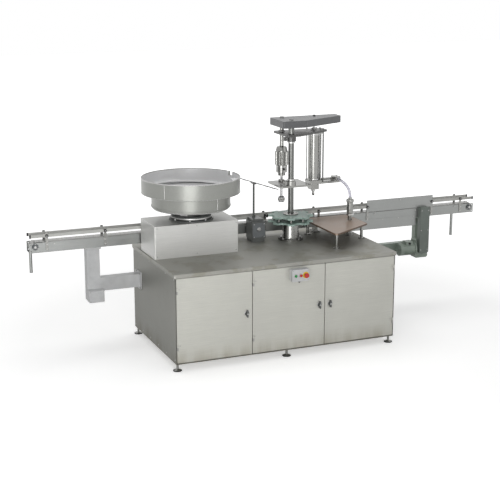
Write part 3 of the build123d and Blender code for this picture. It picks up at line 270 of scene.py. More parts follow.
def paintedLightBowlMask(tree, x, y, *steps):
    # 1 where a point lies nearer the bowl's axis than one of the radii and above the height that goes with it; it is
    # the mask of the painted light inside the bowl
    place = addNode(tree, "ShaderNodeTexCoord")
    split = addNode(tree, "ShaderNodeSeparateXYZ")
    flat = addNode(tree, "ShaderNodeVectorMath", operation="MULTIPLY_ADD")
    flat.inputs[1].default_value, flat.inputs[2].default_value = (1, 1, 0), (-x / 1000, -y / 1000, 0)
    reach = addNode(tree, "ShaderNodeVectorMath", operation="LENGTH")
    tree.links.new(place.outputs["Object"], split.inputs[0])
    tree.links.new(place.outputs["Object"], flat.inputs[0])
    tree.links.new(flat.outputs[0], reach.inputs[0])
    result = None
    for radius, height in steps:
        near = addNode(tree, "ShaderNodeMath", operation="LESS_THAN")
        near.inputs[1].default_value = radius
        high = addNode(tree, "ShaderNodeMath", operation="GREATER_THAN")
        high.inputs[1].default_value = height
        both = addNode(tree, "ShaderNodeMath", operation="MULTIPLY")
        tree.links.new(reach.outputs["Value"], near.inputs[0])
        tree.links.new(split.outputs["Z"], high.inputs[0])
        tree.links.new(near.outputs[0], both.inputs[0])
        tree.links.new(high.outputs[0], both.inputs[1])
        if result:
            most = addNode(tree, "ShaderNodeMath", operation="MAXIMUM")
            tree.links.new(result, most.inputs[0])
            tree.links.new(both.outputs[0], most.inputs[1])
            both = most
        result = both.outputs[0]
    return result


def brushedSteel(name, slot, color, grain, roughness=0.34, smudge=0.5, metallic=1.0, dirt=0.0, oil=False,
                 paintedLightInside=None):
    # grain: how fine the brushing is along X, Y and Z; the small value is the direction of the strokes
    material, tree, shader = makeMaterial(name, color, roughness, metallic)
    strokes = objectNoise(tree, grain, 1.0, 4.0, 0.7)
    clouds = objectNoise(tree, (1, 1, 1), 2.6, 5.0, 0.6)
    spots = objectNoise(tree, (1, 1, 1), 34.0, 3.0, 0.6)
    tone = ramp(tree, strokes, [(0.30, [c * 0.86 for c in color]), (0.70, [min(1, c * 1.08) for c in color])])
    dull = ramp(tree, clouds, [(0.40, grey(0.0)), (0.72, grey(smudge))])
    base = mixColor(tree, dull, tone, [c * 0.84 for c in color])
    if dirt:
        # grime that rises a little from the floor and runs in soft drips
        place = addNode(tree, "ShaderNodeTexCoord")
        split = addNode(tree, "ShaderNodeSeparateXYZ")
        height = addNode(tree, "ShaderNodeMapRange")
        for socket, value in zip(height.inputs[1:5], (0.06, 0.20, 1.0, 0.0)):
            socket.default_value = value
        tree.links.new(place.outputs["Object"], split.inputs[0])
        tree.links.new(split.outputs["Z"], height.inputs[0])
        drips = ramp(tree, objectNoise(tree, (9, 9, 1.2), 1.0, 4.0, 0.6), [(0.35, grey(0.15)), (0.7, grey(dirt))])
        amount = mixColor(tree, height.outputs[0], (0, 0, 0), drips)
        base = mixColor(tree, amount, base, [color[0] * 0.42, color[1] * 0.36, color[2] * 0.26])
    if oil:
        # splashes of oil left round the stations
        film = ramp(tree, objectNoise(tree, (1, 1, 1), 5.5, 6.0, 0.62), [(0.50, grey(0.0)), (0.58, grey(0.45))])
        base = mixColor(tree, film, base, [color[0] * 0.62, color[1] * 0.60, color[2] * 0.48])
    # painted light: the inside of the bowl is drawn in a light grey
    if paintedLightInside:
        base = mixColor(tree, paintedLightBowlMask(tree, *paintedLightInside[:4]), base, grey(paintedLightInside[4]))
    tree.links.new(base, shader.inputs["Base Color"])
    rough = ramp(tree, strokes, [(0.25, grey(roughness - 0.07)), (0.75, grey(roughness + 0.08))])
    worn = mixColor(tree, ramp(tree, spots, [(0.55, grey(0.0)), (0.75, grey(0.35))]), rough, grey(roughness + 0.16))
    tree.links.new(worn, shader.inputs["Roughness"])
    addBump(tree, shader, [(clouds, 0.05, 0.004), (strokes, 0.16, 0.0003)])
    return keepFinish(name, slot, material)


def paintedMetal(name, slot, color, roughness=0.38, peel=0.10):
    # sprayed paint: faint orange peel, dust on it, and rubbed lighter where the noise peaks
    material, tree, shader = makeMaterial(name, color, roughness)
    peelNoise = objectNoise(tree, (1, 1, 1), 420.0, 2.0)
    clouds = objectNoise(tree, (1, 1, 1), 6.0, 5.0, 0.6)
    tone = ramp(tree, clouds, [(0.30, [c * 0.84 for c in color]), (0.70, [min(1, c * 1.12 + 0.004) for c in color])])
    rubbed = ramp(tree, objectNoise(tree, (1, 1, 1), 55.0, 4.0, 0.7), [(0.66, grey(0.0)), (0.74, grey(0.5))])
    base = mixColor(tree, rubbed, tone, [min(1, c * 1.35 + 0.02) for c in color])
    tree.links.new(base, shader.inputs["Base Color"])
    tree.links.new(ramp(tree, clouds, [(0.3, grey(roughness - 0.06)), (0.7, grey(roughness + 0.10))]),
                   shader.inputs["Roughness"])
    shader.inputs["Coat Weight"].default_value = 0.15
    addBump(tree, shader, [(peelNoise, peel, 0.0002)])
    return keepFinish(name, slot, material)


def plainPlastic(name, slot, color, roughness=0.45, grainScale=900.0, specks=0.0):
    material, tree, shader = makeMaterial(name, color, roughness)
    grain = objectNoise(tree, (1, 1, 1), grainScale, 2.0)
    clouds = objectNoise(tree, (1, 1, 1), 9.0, 4.0)
    tone = ramp(tree, clouds, [(0.3, [c * 0.90 for c in color]), (0.7, [min(1, c * 1.08) for c in color])])
    if specks:
        dots = ramp(tree, objectNoise(tree, (1, 1, 1), 260.0, 3.0, 0.7), [(0.62, grey(0.0)), (0.68, grey(specks))])
        tone = mixColor(tree, dots, tone, [min(1, c * 1.5 + 0.05) for c in color])
    tree.links.new(tone, shader.inputs["Base Color"])
    tree.links.new(ramp(tree, clouds, [(0.3, grey(roughness - 0.06)), (0.7, grey(roughness + 0.07))]),
                   shader.inputs["Roughness"])
    addBump(tree, shader, [(grain, 0.10, 0.0002)])
    return keepFinish(name, slot, material)


def clearPlastic(name, slot, color, roughness=0.12):
    material, tree, shader = makeMaterial(name, color, roughness)
    shader.inputs["Transmission Weight"].default_value = 0.72
    shader.inputs["IOR"].default_value = 1.36
    clouds = objectNoise(tree, (1, 1, 1), 30.0, 3.0)
    tree.links.new(ramp(tree, clouds, [(0.3, color), (0.7, [c * 0.86 for c in color])]), shader.inputs["Base Color"])
    return keepFinish(name, slot, material)


def keepFinish(name, slot, material):
    finishes[name], finishSlots[name] = material, slot


feeder = dict(x=-785, y=145, outletAngle=15.08)

brushedSteel("cabinetSteel", "cabinet_steel", (0.55, 0.548, 0.50), (6, 6, 600), 0.42, metallic=0.38, dirt=0.7)
# the side panels: cabinet steel drawn much darker, as painted shade on the cabinet's sides
brushedSteel("sideSteelPaintedShade", "cabinet_steel", (0.24, 0.24, 0.215), (6, 6, 600), 0.46, metallic=0.35, dirt=0.8)
brushedSteel("plinthSteel", "cabinet_steel", (0.60, 0.60, 0.58), (6, 6, 600), 0.40, metallic=0.55)
# the deck: cabinet steel drawn darker, as painted shade and painted dark reflections on the deck; the oil film on it is
# stains
brushedSteel("deckSteelPaintedShade", "cabinet_steel", (0.33, 0.327, 0.298), (6, 500, 500), 0.46, metallic=0.62, oil=True)
brushedSteel("frameSteel", "frame_steel", (0.34, 0.34, 0.325), (300, 300, 300), 0.42)
brushedSteel("polishedSteel", "polished_steel", (0.27, 0.27, 0.258), (8, 8, 420), 0.24, 0.3)
# the crossbeam: polished steel drawn almost black, as painted shade and painted dark reflections
brushedSteel("beamSteelPaintedShade", "polished_steel", (0.09, 0.09, 0.088), (8, 8, 420), 0.32, 0.3)
# the mast and its rods: bright rod steel drawn nearly black, as painted dark reflections
brushedSteel("mastSteelPaintedShade", "bright_rod", (0.135, 0.137, 0.132), (900, 900, 30), 0.20, 0.2)
# the bowl's inside gets a light grey over its dark steel: painted light inside the bowl
brushedSteel("bowlSteel", "polished_steel", (0.285, 0.29, 0.27), (60, 60, 700), 0.34, 0.45, metallic=0.55,
             paintedLightInside=(feeder["x"], feeder["y"], (0.327, 1.171), (0.409, 1.3035), 0.78))
brushedSteel("chainSteel", "polished_steel", (0.36, 0.36, 0.35), (500, 8, 500), 0.30, 0.6)
brushedSteel("conveyorSteel", "cabinet_steel", (0.29, 0.297, 0.29), (5, 600, 600), 0.38)
brushedSteel("brightRod", "bright_rod", (0.42, 0.42, 0.425), (900, 900, 30), 0.16, 0.12)
brushedSteel("boltSteel", "polished_steel", (0.46, 0.46, 0.45), (300, 300, 300), 0.28, 0.3)
brushedSteel("springSteel", "spring_steel", (0.18, 0.18, 0.19), (500, 500, 20), 0.40)
paintedMetal("darkPaint", "dark_paint", (0.085, 0.090, 0.086), 0.40)
paintedMetal("yokePaint", "dark_paint", (0.115, 0.118, 0.122), 0.42)
paintedMetal("greenPaint", "green_paint", (0.31, 0.365, 0.31), 0.40)
paintedMetal("guardPaint", "green_paint", (0.15, 0.175, 0.155), 0.40)
paintedMetal("drivePaint", "drive_paint", (0.10, 0.16, 0.19), 0.40)
paintedMetal("boxPaint", "box_paint", (0.56, 0.565, 0.565), 0.42)
plainPlastic("starPlastic", "star_plastic", (0.30, 0.405, 0.36), 0.42)
plainPlastic("boardPlastic", "table_board", (0.34, 0.25, 0.19), 0.36, 700.0, 0.4)
# the board's edge band: a dark brown, as painted shade on the board's edges
plainPlastic("boardEdgePaintedShade", "table_board", (0.12, 0.078, 0.052), 0.50, 700.0)
plainPlastic("railPlastic", "rail_plastic", (0.55, 0.55, 0.52), 0.40)
paintedMetal("ironPaint", "bearing_iron", (0.12, 0.13, 0.135), 0.5, 0.25)
plainPlastic("startGreen", "start_green", (0.02, 0.26, 0.06), 0.25)
plainPlastic("stopRed", "stop_red", (0.50, 0.02, 0.02), 0.25)
plainPlastic("safetyYellow", "box_paint", (0.75, 0.50, 0.03), 0.35)
plainPlastic("rubberBlack", "dark_paint", (0.025, 0.025, 0.026), 0.72, 1400.0)
clearPlastic("clearHose", "clear_hose", (0.82, 0.81, 0.90))

nodeFinish = {
    "cabinetSteel": "back_panel floor_pan door_left door_middle door_right",
    "sideSteelPaintedShade": "side_panels",
    "plinthSteel": "feeder_plinth",
    "deckSteelPaintedShade": "deck_plate",
    "frameSteel": "base_frame levelling_feet",
    "beamSteelPaintedShade": "crossbeam",
    "mastSteelPaintedShade": "mast tie_rods lift_rod",
    "polishedSteel": "star_housing star_shaft star_spacers lift_cylinder guide_arm capping_motor "
                     "dosing_cylinder valve_block supply_pipe strainer table_legs rail_brackets conveyor_stands",
    "bowlSteel": "feeder_bowl",
    "chainSteel": "slat_chain",
    "conveyorSteel": "conveyor_frame drip_tray",
    "brightRod": "cap_chute capping_spindle dosing_piston",
    "springSteel": "bowl_springs",
    "darkPaint": "latch_left latch_middle latch_right bowl_base chute_stand",
    "guardPaint": "drive_guard",
    "yokePaint": "lift_yoke",
    "greenPaint": "right_support gear_motor",
    "drivePaint": "index_drive",
    "boxPaint": "control_box left_support",
    "starPlastic": "star_disc_lower star_disc_upper",
    "boardPlastic": "loading_table",
    "railPlastic": "guide_rails wear_strips",
    "ironPaint": "left_end_wheel drive_wheel right_end_wheel shaft_bearings",
    "startGreen": "start_button",
    "stopRed": "stop_button emergency_stop",
    "clearHose": "supply_hose",
}
for finish, names in nodeFinish.items():
    for name in names.split():
        nodes[name].data.materials.clear()
        nodes[name].data.materials.append(finishes[finish])
print("finishes made:", len(finishes))


# The supply hose from the strainer to the port block, with its wire helix and two clamps
supplyHose = dict(
    route=[(690, 130, 1130), (690, 130, 1205), (670, 250, 1271), (670, 340, 1271)],
    diameter=26, length=288, wireTurns=26, wireRadius=12.2, wireThickness=0.9,
    clampPlaces=((690, 130, 1136), (670, 331, 1271)), clampWidth=9,
)


def makeHose(hose):
    curve = bpy.data.curves.new("supplyHose", "CURVE")
    curve.dimensions = "3D"
    curve.resolution_u = 24
    spline = curve.splines.new("NURBS")
    spline.points.add(len(hose["route"]) - 1)
    for point, place in zip(spline.points, hose["route"]):
        point.co = (*(value / 1000 for value in place), 1)
    spline.order_u = 3
    spline.use_endpoint_u = True
    tube = bpy.data.objects.new("supplyHose", curve)
    scene.collection.objects.link(tube)
    line = bpy.data.meshes.new_from_object(tube)  # the route itself, while the curve has no bevel
    path = np.array([vertex.co[:] for vertex in line.vertices]) * 1000
    bpy.data.meshes.remove(line)
    curve.bevel_depth = hose["diameter"] / 2000
    curve.bevel_resolution = 6
    curve.use_fill_caps = True
    curve.materials.append(finishes["clearHose"])
    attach(tube, "machine")
    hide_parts("supply_hose")

    # wire: path + r * (cos t * side + sin t * rise), with t growing evenly along the hose
    steps = hose["wireTurns"] * 16
    along = np.concatenate([[0], np.cumsum(np.linalg.norm(np.diff(path, axis=0), axis=1))])
    at = np.linspace(along[-1] * 0.04, along[-1] * 0.96, steps)
    centre = np.stack([np.interp(at, along, path[:, axis]) for axis in range(3)], -1)
    direction = np.gradient(centre, axis=0)
    direction /= np.linalg.norm(direction, axis=1)[:, None]
    side = np.cross(direction, right)
    side /= np.linalg.norm(side, axis=1)[:, None]
    rise = np.cross(side, direction)
    turn = np.linspace(0, hose["wireTurns"] * 2 * math.pi, steps)[:, None]
    coil = centre + hose["wireRadius"] * (np.cos(turn) * side + np.sin(turn) * rise)
    wire = sweptPiece("hoseWire", [coil], circle(hose["wireThickness"], 6), "machine", "brightRod", normal=right)

    half = hose["clampWidth"] / 2
    band = [(12.6, -half), (14.2, -half), (14.2, half), (12.6, half)]
    screw = [(0, -8), (3.4, -8), (3.4, 8), (0, 8)]
    for name, place, facing, offset in (("hoseClampLow", hose["clampPlaces"][0], up, (0, -16.5, 4)),
                                        ("hoseClampHigh", hose["clampPlaces"][1], back, (0, -4, 16.5))):
        turnedPiece(name, band, [place], "machine", "boltSteel", facing, 40, hollow=True)
        turnedPiece(name + "Screw", screw, [np.add(place, offset)], "machine", "boltSteel", right, 16)


# Slats of the conveyor chain
chainSlats = dict(pitch=38.1, onTop=108, roundEnd=3, halfWidth=41.5, thickness=3.2, gap=1.8, tab=7, tabHalf=12.2,
                  notchHalf=13.8, bevel=0.7, outerRise=2.0, wheelZ=901.617, laneY=400)


def makeSlats(slat):
    # centres run round the loop at the pins' radius; angle is 0 on top, pi below, and turns evenly at the ends
    pitch, reach = slat["pitch"], slat["pitch"] * slat["onTop"] / 2
    pinRadius = slat["roundEnd"] * pitch / math.pi
    count = 2 * (slat["onTop"] + slat["roundEnd"])
    u = (np.arange(count) + 0.5) * pitch
    run, bend = slat["onTop"] * pitch, slat["roundEnd"] * pitch
    angle = (np.clip(u - run, 0, bend) + np.clip(u - 2 * run - bend, 0, bend)) / pinRadius
    middleX = np.where(u < run, u - reach, np.where(u < run + bend, reach, np.where(
        u < 2 * run + bend, reach - (u - run - bend), -reach)))
    centre = np.stack([middleX + pinRadius * np.sin(angle), slat["wheelZ"] + pinRadius * np.cos(angle)], -1)
    along = np.stack([np.cos(angle), -np.sin(angle)], -1)
    outward = np.stack([np.sin(angle), np.cos(angle)], -1)

    h, w, t = pitch / 2 - slat["gap"] / 2, slat["halfWidth"], slat["tab"]
    a, b = slat["tabHalf"], slat["notchHalf"]
    outline = np.array([(-h, -w), (h, -w), (h, -a), (h + t, -a), (h + t, a), (h, a), (h, w), (-h, w),
                        (-h, b), (-h + t, b), (-h + t, -b), (-h, -b)], float)
    edge = np.roll(outline, -1, 0) - outline
    normal = np.stack([edge[:, 1], -edge[:, 0]], -1) / np.linalg.norm(edge, axis=1)[:, None]
    inset = outline - slat["bevel"] * (normal + np.roll(normal, 1, 0))
    top = slat["outerRise"]
    levels = ((outline, top - slat["thickness"]), (outline, top - slat["bevel"]), (inset, top))
    form = np.stack([np.column_stack([shape, np.full(len(shape), height)]) for shape, height in levels])
    flat = form.reshape(-1, 3)
    plane = (centre[:, None] + flat[None, :, :1] * along[:, None] + flat[None, :, 2:] * outward[:, None])
    points = np.stack([plane[..., 0], np.broadcast_to(slat["laneY"] + flat[:, 1], plane.shape[:2]), plane[..., 1]], -1)
    corners = len(outline)
    faces = np.array(gridFaces(3, corners, wrapColumns=True))[None] + 3 * corners * np.arange(count)[:, None, None]
    caps = np.stack([np.arange(corners), 2 * corners + np.arange(corners)])
    caps = (caps[None] + 3 * corners * np.arange(count)[:, None, None]).reshape(-1, corners)
    piece = newPiece("chainSlats", points, faces.reshape(-1, 4).tolist() + caps.tolist(), "machine", "chainSteel")
    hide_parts("slat_chain")


# Bolts, screws and nuts; every profile is given for a thread of 1 mm and grows with the size
fastenerForms = {
    "hexBolt": [(0, 0), (1.0, 0), (1.0, 0.2), (0.81, 0.2, 6), (0.81, 0.72, 6), (0.72, 0.86), (0, 0.86)],
    "capScrew": [(0, 0), (0.83, 0), (0.83, 0.85), (0.75, 1.0), (0.44, 1.0, 6), (0.42, 0.5, 6), (0, 0.5)],
    "panScrew": [(0, 0), (0.95, 0), (0.95, 0.15), (0.76, 0.45), (0.36, 0.6), (0, 0.62)],
    "studNut": [(0, 0), (1.0, 0), (1.0, 0.2), (0.81, 0.2, 6), (0.81, 0.95, 6), (0.5, 1.0), (0.5, 1.35),
                (0.42, 1.45), (0, 1.45)],
}


def makeFasteners(groups):
    for name, kind, size, places, direction, body in groups:
        profile = [(row[0] * size, row[1] * size, *row[2:]) for row in fastenerForms[kind]]
        turnedPiece(name, profile, np.atleast_2d(np.asarray(places, float)), body, "boltSteel", direction, 24)


def rectangle(xs, ys, zs):
    # every combination of the given places
    return np.array([(x, y, z) for x in xs for y in ys for z in zs], float)


conveyor = dict(y=400, plateOut=52, spacerFirst=-1900, spacerStep=4210 / 9 - 410 / 9, spacers=10, spacerZ=918,
                wheels=(-2057.4, 1560, 2057.4), wheelZ=901.617)
bracketRear = np.linspace(-1960, 1960, 9)
bracketFront = np.array([-1960, -1470, -980, -490, 490, 980, 1960, -30, 330, 1650], float)
spacerX = conveyor["spacerFirst"] + conveyor["spacerStep"] * np.arange(conveyor["spacers"])
wheelPlaces = [(x, y, conveyor["wheelZ"]) for x in conveyor["wheels"] for y in (342, 458)]


def wheelBolts(y):
    # three screws round each bearing, in the plane of its flange
    places = [ring(x, conveyor["wheelZ"], 0, 23, 3, 90)[:, :2] for x in conveyor["wheels"]]
    flat = np.concatenate(places)
    return np.stack([flat[:, 0], np.full(len(flat), float(y)), flat[:, 1]], -1)


def aroundY(x, y, z, radius, count, start=0):
    flat = ring(x, z, 0, radius, count, start)
    return np.stack([flat[:, 0], np.full(count, float(y)), flat[:, 1]], -1)


fastenerGroups = [
    ("housingBolts", "hexBolt", 10, ring(150, 200, 815, 95, 8, 22.5), up, "machine"),
    ("tableLegScrews", "capScrew", 5, np.concatenate([ring(x, y, 806, 20.5, 3, 30) for x, y in (
        (365, 305), (735, 305), (735, -10), (365, -265))]), up, "machine"),
    ("tableTopScrews", "panScrew", 6, rectangle((365, 735), (305,), (940,)), up, "machine"),
    ("hubScrews", "capScrew", 6, ring(150, 200, 1032, 52, 6), up, "star"),
    ("discScrewsHigh", "capScrew", 6, ring(150, 200, 1020, 145, 8, 22.5), up, "star"),
    ("discScrewsLow", "hexBolt", 6, ring(150, 200, 955, 145, 8, 22.5), down, "star"),
    ("beamClampScrews", "capScrew", 6, [(101, 185, 1671), (101, 185, 1689)], front, "machine"),
    ("armClampScrews", "capScrew", 6, [(101, 185, 1287), (101, 185, 1305)], front, "machine"),
    ("beamNuts", "studNut", 7, rectangle((413, 507), (353, 447), (1718,)), up, "machine"),
    ("tieNuts", "studNut", 8, [(535, 365, 1718), (535, 435, 1718)], up, "machine"),
    ("valvePlateBolts", "hexBolt", 7, rectangle((413, 507), (353, 447), (1237,)), down, "machine"),
    ("tieBolts", "hexBolt", 8, [(535, 365, 1237), (535, 435, 1237)], down, "machine"),
    ("portScrews", "capScrew", 5, rectangle((648, 692), (350, 410), (1289,)), up, "machine"),
    ("valveBodyScrews", "capScrew", 5, [(x, 362, z) for x in (432, 488) for z in (1195, 1227)], front, "machine"),
    ("guideArmScrews", "capScrew", 6, ring(150, 400, 1290, 21.5, 4, 45), up, "machine"),
    ("mastFlangeBolts", "hexBolt", 10, ring(150, 200, 586, 50, 6), down, "machine"),
    ("driveHangers", "hexBolt", 10, rectangle((0, 300), (110, 290), (744,)), down, "machine"),
    ("plateScrewsFront", "capScrew", 7, rectangle(spacerX, (348,), (conveyor["spacerZ"],)), front, "machine"),
    ("plateScrewsBack", "capScrew", 7, rectangle(spacerX, (452,), (conveyor["spacerZ"],)), back, "machine"),
    ("bracketScrewsFront", "hexBolt", 6, rectangle(bracketFront, (343,), (877, 915)), front, "machine"),
    ("bracketScrewsBack", "hexBolt", 6, rectangle(bracketRear, (457,), (877, 915)), back, "machine"),
    ("bearingScrewsFront", "capScrew", 5, wheelBolts(342), front, "machine"),
    ("bearingScrewsBack", "capScrew", 5, wheelBolts(458), back, "machine"),
    ("standBolts", "hexBolt", 8, rectangle(np.add.outer((-1080, -460, 480), (-22, 22)).ravel(), (368, 432), (806,)),
     up, "machine"),
    ("leftFlangeBolts", "hexBolt", 10, rectangle((-1178,), (342, 458), (462, 589)), left, "machine"),
    ("rightFlangeBolts", "hexBolt", 10, rectangle((778,), (414, 503), (493, 607)), right, "machine"),
    ("leftSaddleBolts", "hexBolt", 8, rectangle((-1634, -1516), (354, 446), (842,)), down, "machine"),
    ("guardScrews", "panScrew", 6, rectangle((1525, 1595), (300,), (545, 730, 915)), front, "machine"),
    ("controlBoxScrews", "panScrew", 5, rectangle((-188, -58), (-605,), (660, 740)), front, "middle_door"),
    ("junctionScrews", "panScrew", 5, rectangle((-1626, -1516), (290,), (402, 482)), front, "machine"),
    ("terminalScrews", "panScrew", 5, rectangle((1400, 1450), (344, 396), (626,)), up, "machine"),
    ("sidePanelScrewsLeft", "panScrew", 6, rectangle((-1170,), np.linspace(-520, 520, 6), (95, 755)), left, "machine"),
    ("sidePanelScrewsRight", "panScrew", 6, rectangle((770,), np.linspace(-520, 520, 6), (95, 755)), right, "machine"),
    ("backPanelScrews", "panScrew", 6, rectangle(np.linspace(-1145, 745, 9), (550,), (90, 758)), back, "machine"),
    ("plinthScrews", "panScrew", 6, rectangle((-1150, -805, -460), (-50,), (822, 1056)), front, "machine"),
    ("bowlBaseBolts", "capScrew", 8, ring(-785, 145, 1085, 176, 8, 22.5), up, "machine"),
    ("bowlCentreNut", "studNut", 20, [(-785, 145, 1220)], up, "bowl"),
    ("driveBlockScrews", "capScrew", 6, rectangle((-196, -102), (195.6,), (846, 958)), front, "machine"),
    ("inletFlangeBolts", "hexBolt", 5, aroundY(690, 625.5, 650, 26, 4, 45), front, "machine"),
    ("wallFlangeScrews", "capScrew", 5, aroundY(690, 555, 650, 29, 4), back, "machine"),
    ("gearboxBolts", "hexBolt", 8, rectangle((1625,), (360, 418), (480, 620)), right, "machine"),
]
for bodyName, pivot, side in (("left_door", -1158, -1), ("middle_door", -514.667, -1), ("right_door", 758, 1)):
    leaf = rectangle((pivot - side * 12, pivot - side * 22), (-552,), (218, 678))
    fastenerGroups.append((bodyName.replace("_", "") + "HingeScrews", "panScrew", 4, leaf, front, bodyName))


# Cabinet: door seals, latch rings, foot pads with threaded stems, vent hoods
cabinet = dict(doorLeft=(-1162, -518.667, 124.667), doorWidth=637.333, doorLow=75, doorHigh=764, sealY=-529,
               latchX=(-569.667, 73.667, 169.667), latchZ=420, feetX=(-1148, -200, 748), feetY=(-508, 528),
               ventX=(-800, -100), ventZ=640, ventPitch=26, ventRows=6)


def makeCabinetDetail(part):
    seals = [roundedLoop(x - 2.4, x + part["doorWidth"] + 2.4, part["doorLow"] - 2.4, part["doorHigh"] + 2.4,
                         part["sealY"], 5) for x in part["doorLeft"]]
    sweptPiece("doorSeals", seals, [(-2.2, -0.9), (2.2, -0.9), (2.2, 0.9), (-2.2, 0.9)], "machine", "rubberBlack",
               normal=front, closed=True)
    for bodyName, x in zip(("left", "middle", "right"), part["latchX"]):
        turnedPiece(bodyName + "LatchRing", [(18.6, 0), (23, 0), (22.4, 2.2), (19.2, 3.2), (18.6, 3.0)],
                    [(x, -550, part["latchZ"])], bodyName + "_door", "boltSteel", front, 48, hollow=True)
        turnedPiece(bodyName + "LatchCap", [(0, 0), (6.2, 0), (6.2, 0.7), (5.2, 1.4), (2.2, 1.4), (2.0, 0.5), (0, 0.5)],
                    [(x, -573.3, part["latchZ"])], bodyName + "_latch", "boltSteel", front, 32)
    feet = rectangle(part["feetX"], part["feetY"], (0,))
    turnedPiece("footPads", [(30, 0.2), (35, 0.2), (36, 2), (36, 5), (34, 8), (30, 8)], feet, "machine", "rubberBlack",
                segments=40, hollow=True)
    # thread: r = core + depth * triangle wave of (height / pitch - turn)
    angle = np.arange(20) * 2 * math.pi / 20
    height = np.arange(19, 52.6, 0.5)[:, None]
    wave = np.abs(np.mod(height / 2 - angle / (2 * math.pi), 1) * 2 - 1)
    radius = 8.9 + 1.1 * wave
    thread = np.stack([radius * np.cos(angle), radius * np.sin(angle), np.broadcast_to(height, radius.shape)], -1)
    ends = [np.stack([7 * np.cos(angle), 7 * np.sin(angle), np.full(20, z)], -1)[None] for z in (19, 52.5)]
    form = np.concatenate([ends[0], thread, ends[1]])
    repeatForm("footThreads", form, feet, "machine", "frameSteel", wrapRows=True)
    # vent hood: it leaves the panel at the top and swells outwards, flatter towards both ends:
    # e = sqrt(1 - u^6), y = depth * e * sin(v), z = -drop * e * (1 - cos v)
    u = np.linspace(-1, 1, 33)[None, :]
    v = np.linspace(0, math.pi / 2, 9)[:, None]
    swell = np.sqrt(1 - u ** 6)
    hood = np.stack([np.broadcast_to(86 * u, (9, 33)), 11 * swell * np.sin(v), 8 - 14 * swell * (1 - np.cos(v))], -1)
    rows = [(x, 550.2, part["ventZ"] - part["ventPitch"] * i) for x in part["ventX"] for i in range(part["ventRows"])]
    points = np.concatenate([hood.reshape(-1, 3) + place for place in rows])
    faces = sum((gridFaces(9, 33, start=297 * i) for i in range(len(rows))), [])
    hoods = newPiece("ventHoods", points, faces, "machine", "cabinetSteel")
    wall = hoods.modifiers.new("wall", "SOLIDIFY")
    wall.thickness = 0.0012


# Control box: bezels, lid seam, legend ring, cable gland
controls = dict(y=-605, z=700, buttonX=(-168, -123), stopX=-78)


def makeControls(part):
    y, z = part["y"], part["z"]
    bezel = [(11.4, 0), (16, 0), (15.6, 2.4), (13.6, 3.8), (11.4, 3.8)]
    turnedPiece("buttonBezels", bezel, [(x, y, z) for x in part["buttonX"]], "middle_door", "boltSteel", front, 40,
                hollow=True)
    turnedPiece("stopPlate", [(11.6, 0), (27, 0), (27, 1.0), (26.2, 1.6), (11.6, 1.6)], [(part["stopX"], y, z)],
                "middle_door", "safetyYellow", front, 56, hollow=True)
    turnedPiece("stopCollar", [(11.4, 1.6), (17, 1.6), (16, 5.2), (11.4, 5.2)], [(part["stopX"], y, z)],
                "middle_door", "boltSteel", front, 40, hollow=True)
    ribbedRing("stopGrip", dict(ribs=18, radius=19.2, depth=0.9, inner=17, height=5), [(part["stopX"], y - 17, z)],
               "mushroom", "stopRed", front)
    seam = roundedLoop(-198.4, -47.6, 649.6, 750.4, -596, 9)
    sweptPiece("boxSeam", [seam], [(-0.8, -1.2), (0.8, -1.2), (0.8, 1.2), (-0.8, 1.2)], "middle_door", "rubberBlack",
               normal=front, closed=True)
    gland = [(0, -16), (5, -16), (5.5, -12), (9, -9, 6), (9, -3, 6), (10.5, -3), (10.5, 0), (0, 0)]
    turnedPiece("boxGland", gland, [(-123, -576, 650)], "middle_door", "rubberBlack", up, 24)


# Feeder: rim bead, weld lines and rings on the bowl, clamp bars on the spring packs
def makeFeederDetail(part):
    centre = np.array([part["x"], part["y"], 0])
    gap = math.radians(6.0)
    turn = np.linspace(math.radians(part["outletAngle"]) + gap, math.radians(part["outletAngle"]) + 2 * math.pi - gap, 180)

    def arc(radius, z):
        return centre + np.stack([radius * np.cos(turn), radius * np.sin(turn), np.full_like(turn, z)], -1)

    full = np.arange(180) * 2 * math.pi / 180

    def hoop(radius, z):
        return centre + np.stack([radius * np.cos(full), radius * np.sin(full), np.full_like(full, z)], -1)

    sweptPiece("bowlRimBead", [arc(408, 1425)], circle(4.6, 12), "bowl", "boltSteel")
    sweptPiece("bowlBands", [hoop(328.6, 1292), hoop(328.6, 1192)],
               [(-1.2, -5), (1.6, -5), (2.2, -4), (2.2, 4), (1.6, 5), (-1.2, 5)], "bowl", "bowlSteel", closed=True)
    sweptPiece("bowlWelds", [hoop(328.5, 1300.4), hoop(410.2, 1303)], circle(1.8, 8), "bowl", "boltSteel", closed=True)
    seams = [np.array([centre + (radius * math.cos(a), radius * math.sin(a), z) for z in heights])
             for radius, a, heights in ((410.1, -2.45, (1306, 1365, 1420)), (328.1, -1.2, (1184, 1240, 1299)))]
    sweptPiece("bowlSeams", seams, circle(1.3, 8), "bowl", "boltSteel", normal=right)
    bars, leaves = [], []
    for i in range(4):
        a = math.radians(45 + 90 * i)
        out, across = np.array([math.cos(a), math.sin(a), 0]), np.array([-math.sin(a), math.cos(a), 0])
        for z in (1127, 1160):
            bars.append(np.stack([centre + out * 136 + across * s + (0, 0, z) for s in (-33, 0, 33)]))
        for s in (-18, 0, 18):
            leaves.append(np.stack([centre + out * 132 + across * s + (0, 0, z) for z in (1121, 1145, 1168)]))
    sweptPiece("springBars", bars, [(-5, -6), (5, -6), (5, 6), (-5, 6)], "bowl", "boltSteel")
    sweptPiece("springLeaves", leaves, [(-1, -7), (1, -7), (1, 7), (-1, 7)], "bowl", "springSteel", normal=right)
    turnedPiece("baseBand", [(166.8, 0), (170.5, 0), (170.5, 9), (166.8, 9)], [(part["x"], part["y"], 1096)],
                "machine", "boltSteel", segments=96, hollow=True)
    turnedPiece("bowlWasher", [(16, 0), (31, 0), (31, 3), (29, 5), (16, 5)], [(part["x"], part["y"], 1219.5)],
                "bowl", "boltSteel", segments=40, hollow=True)


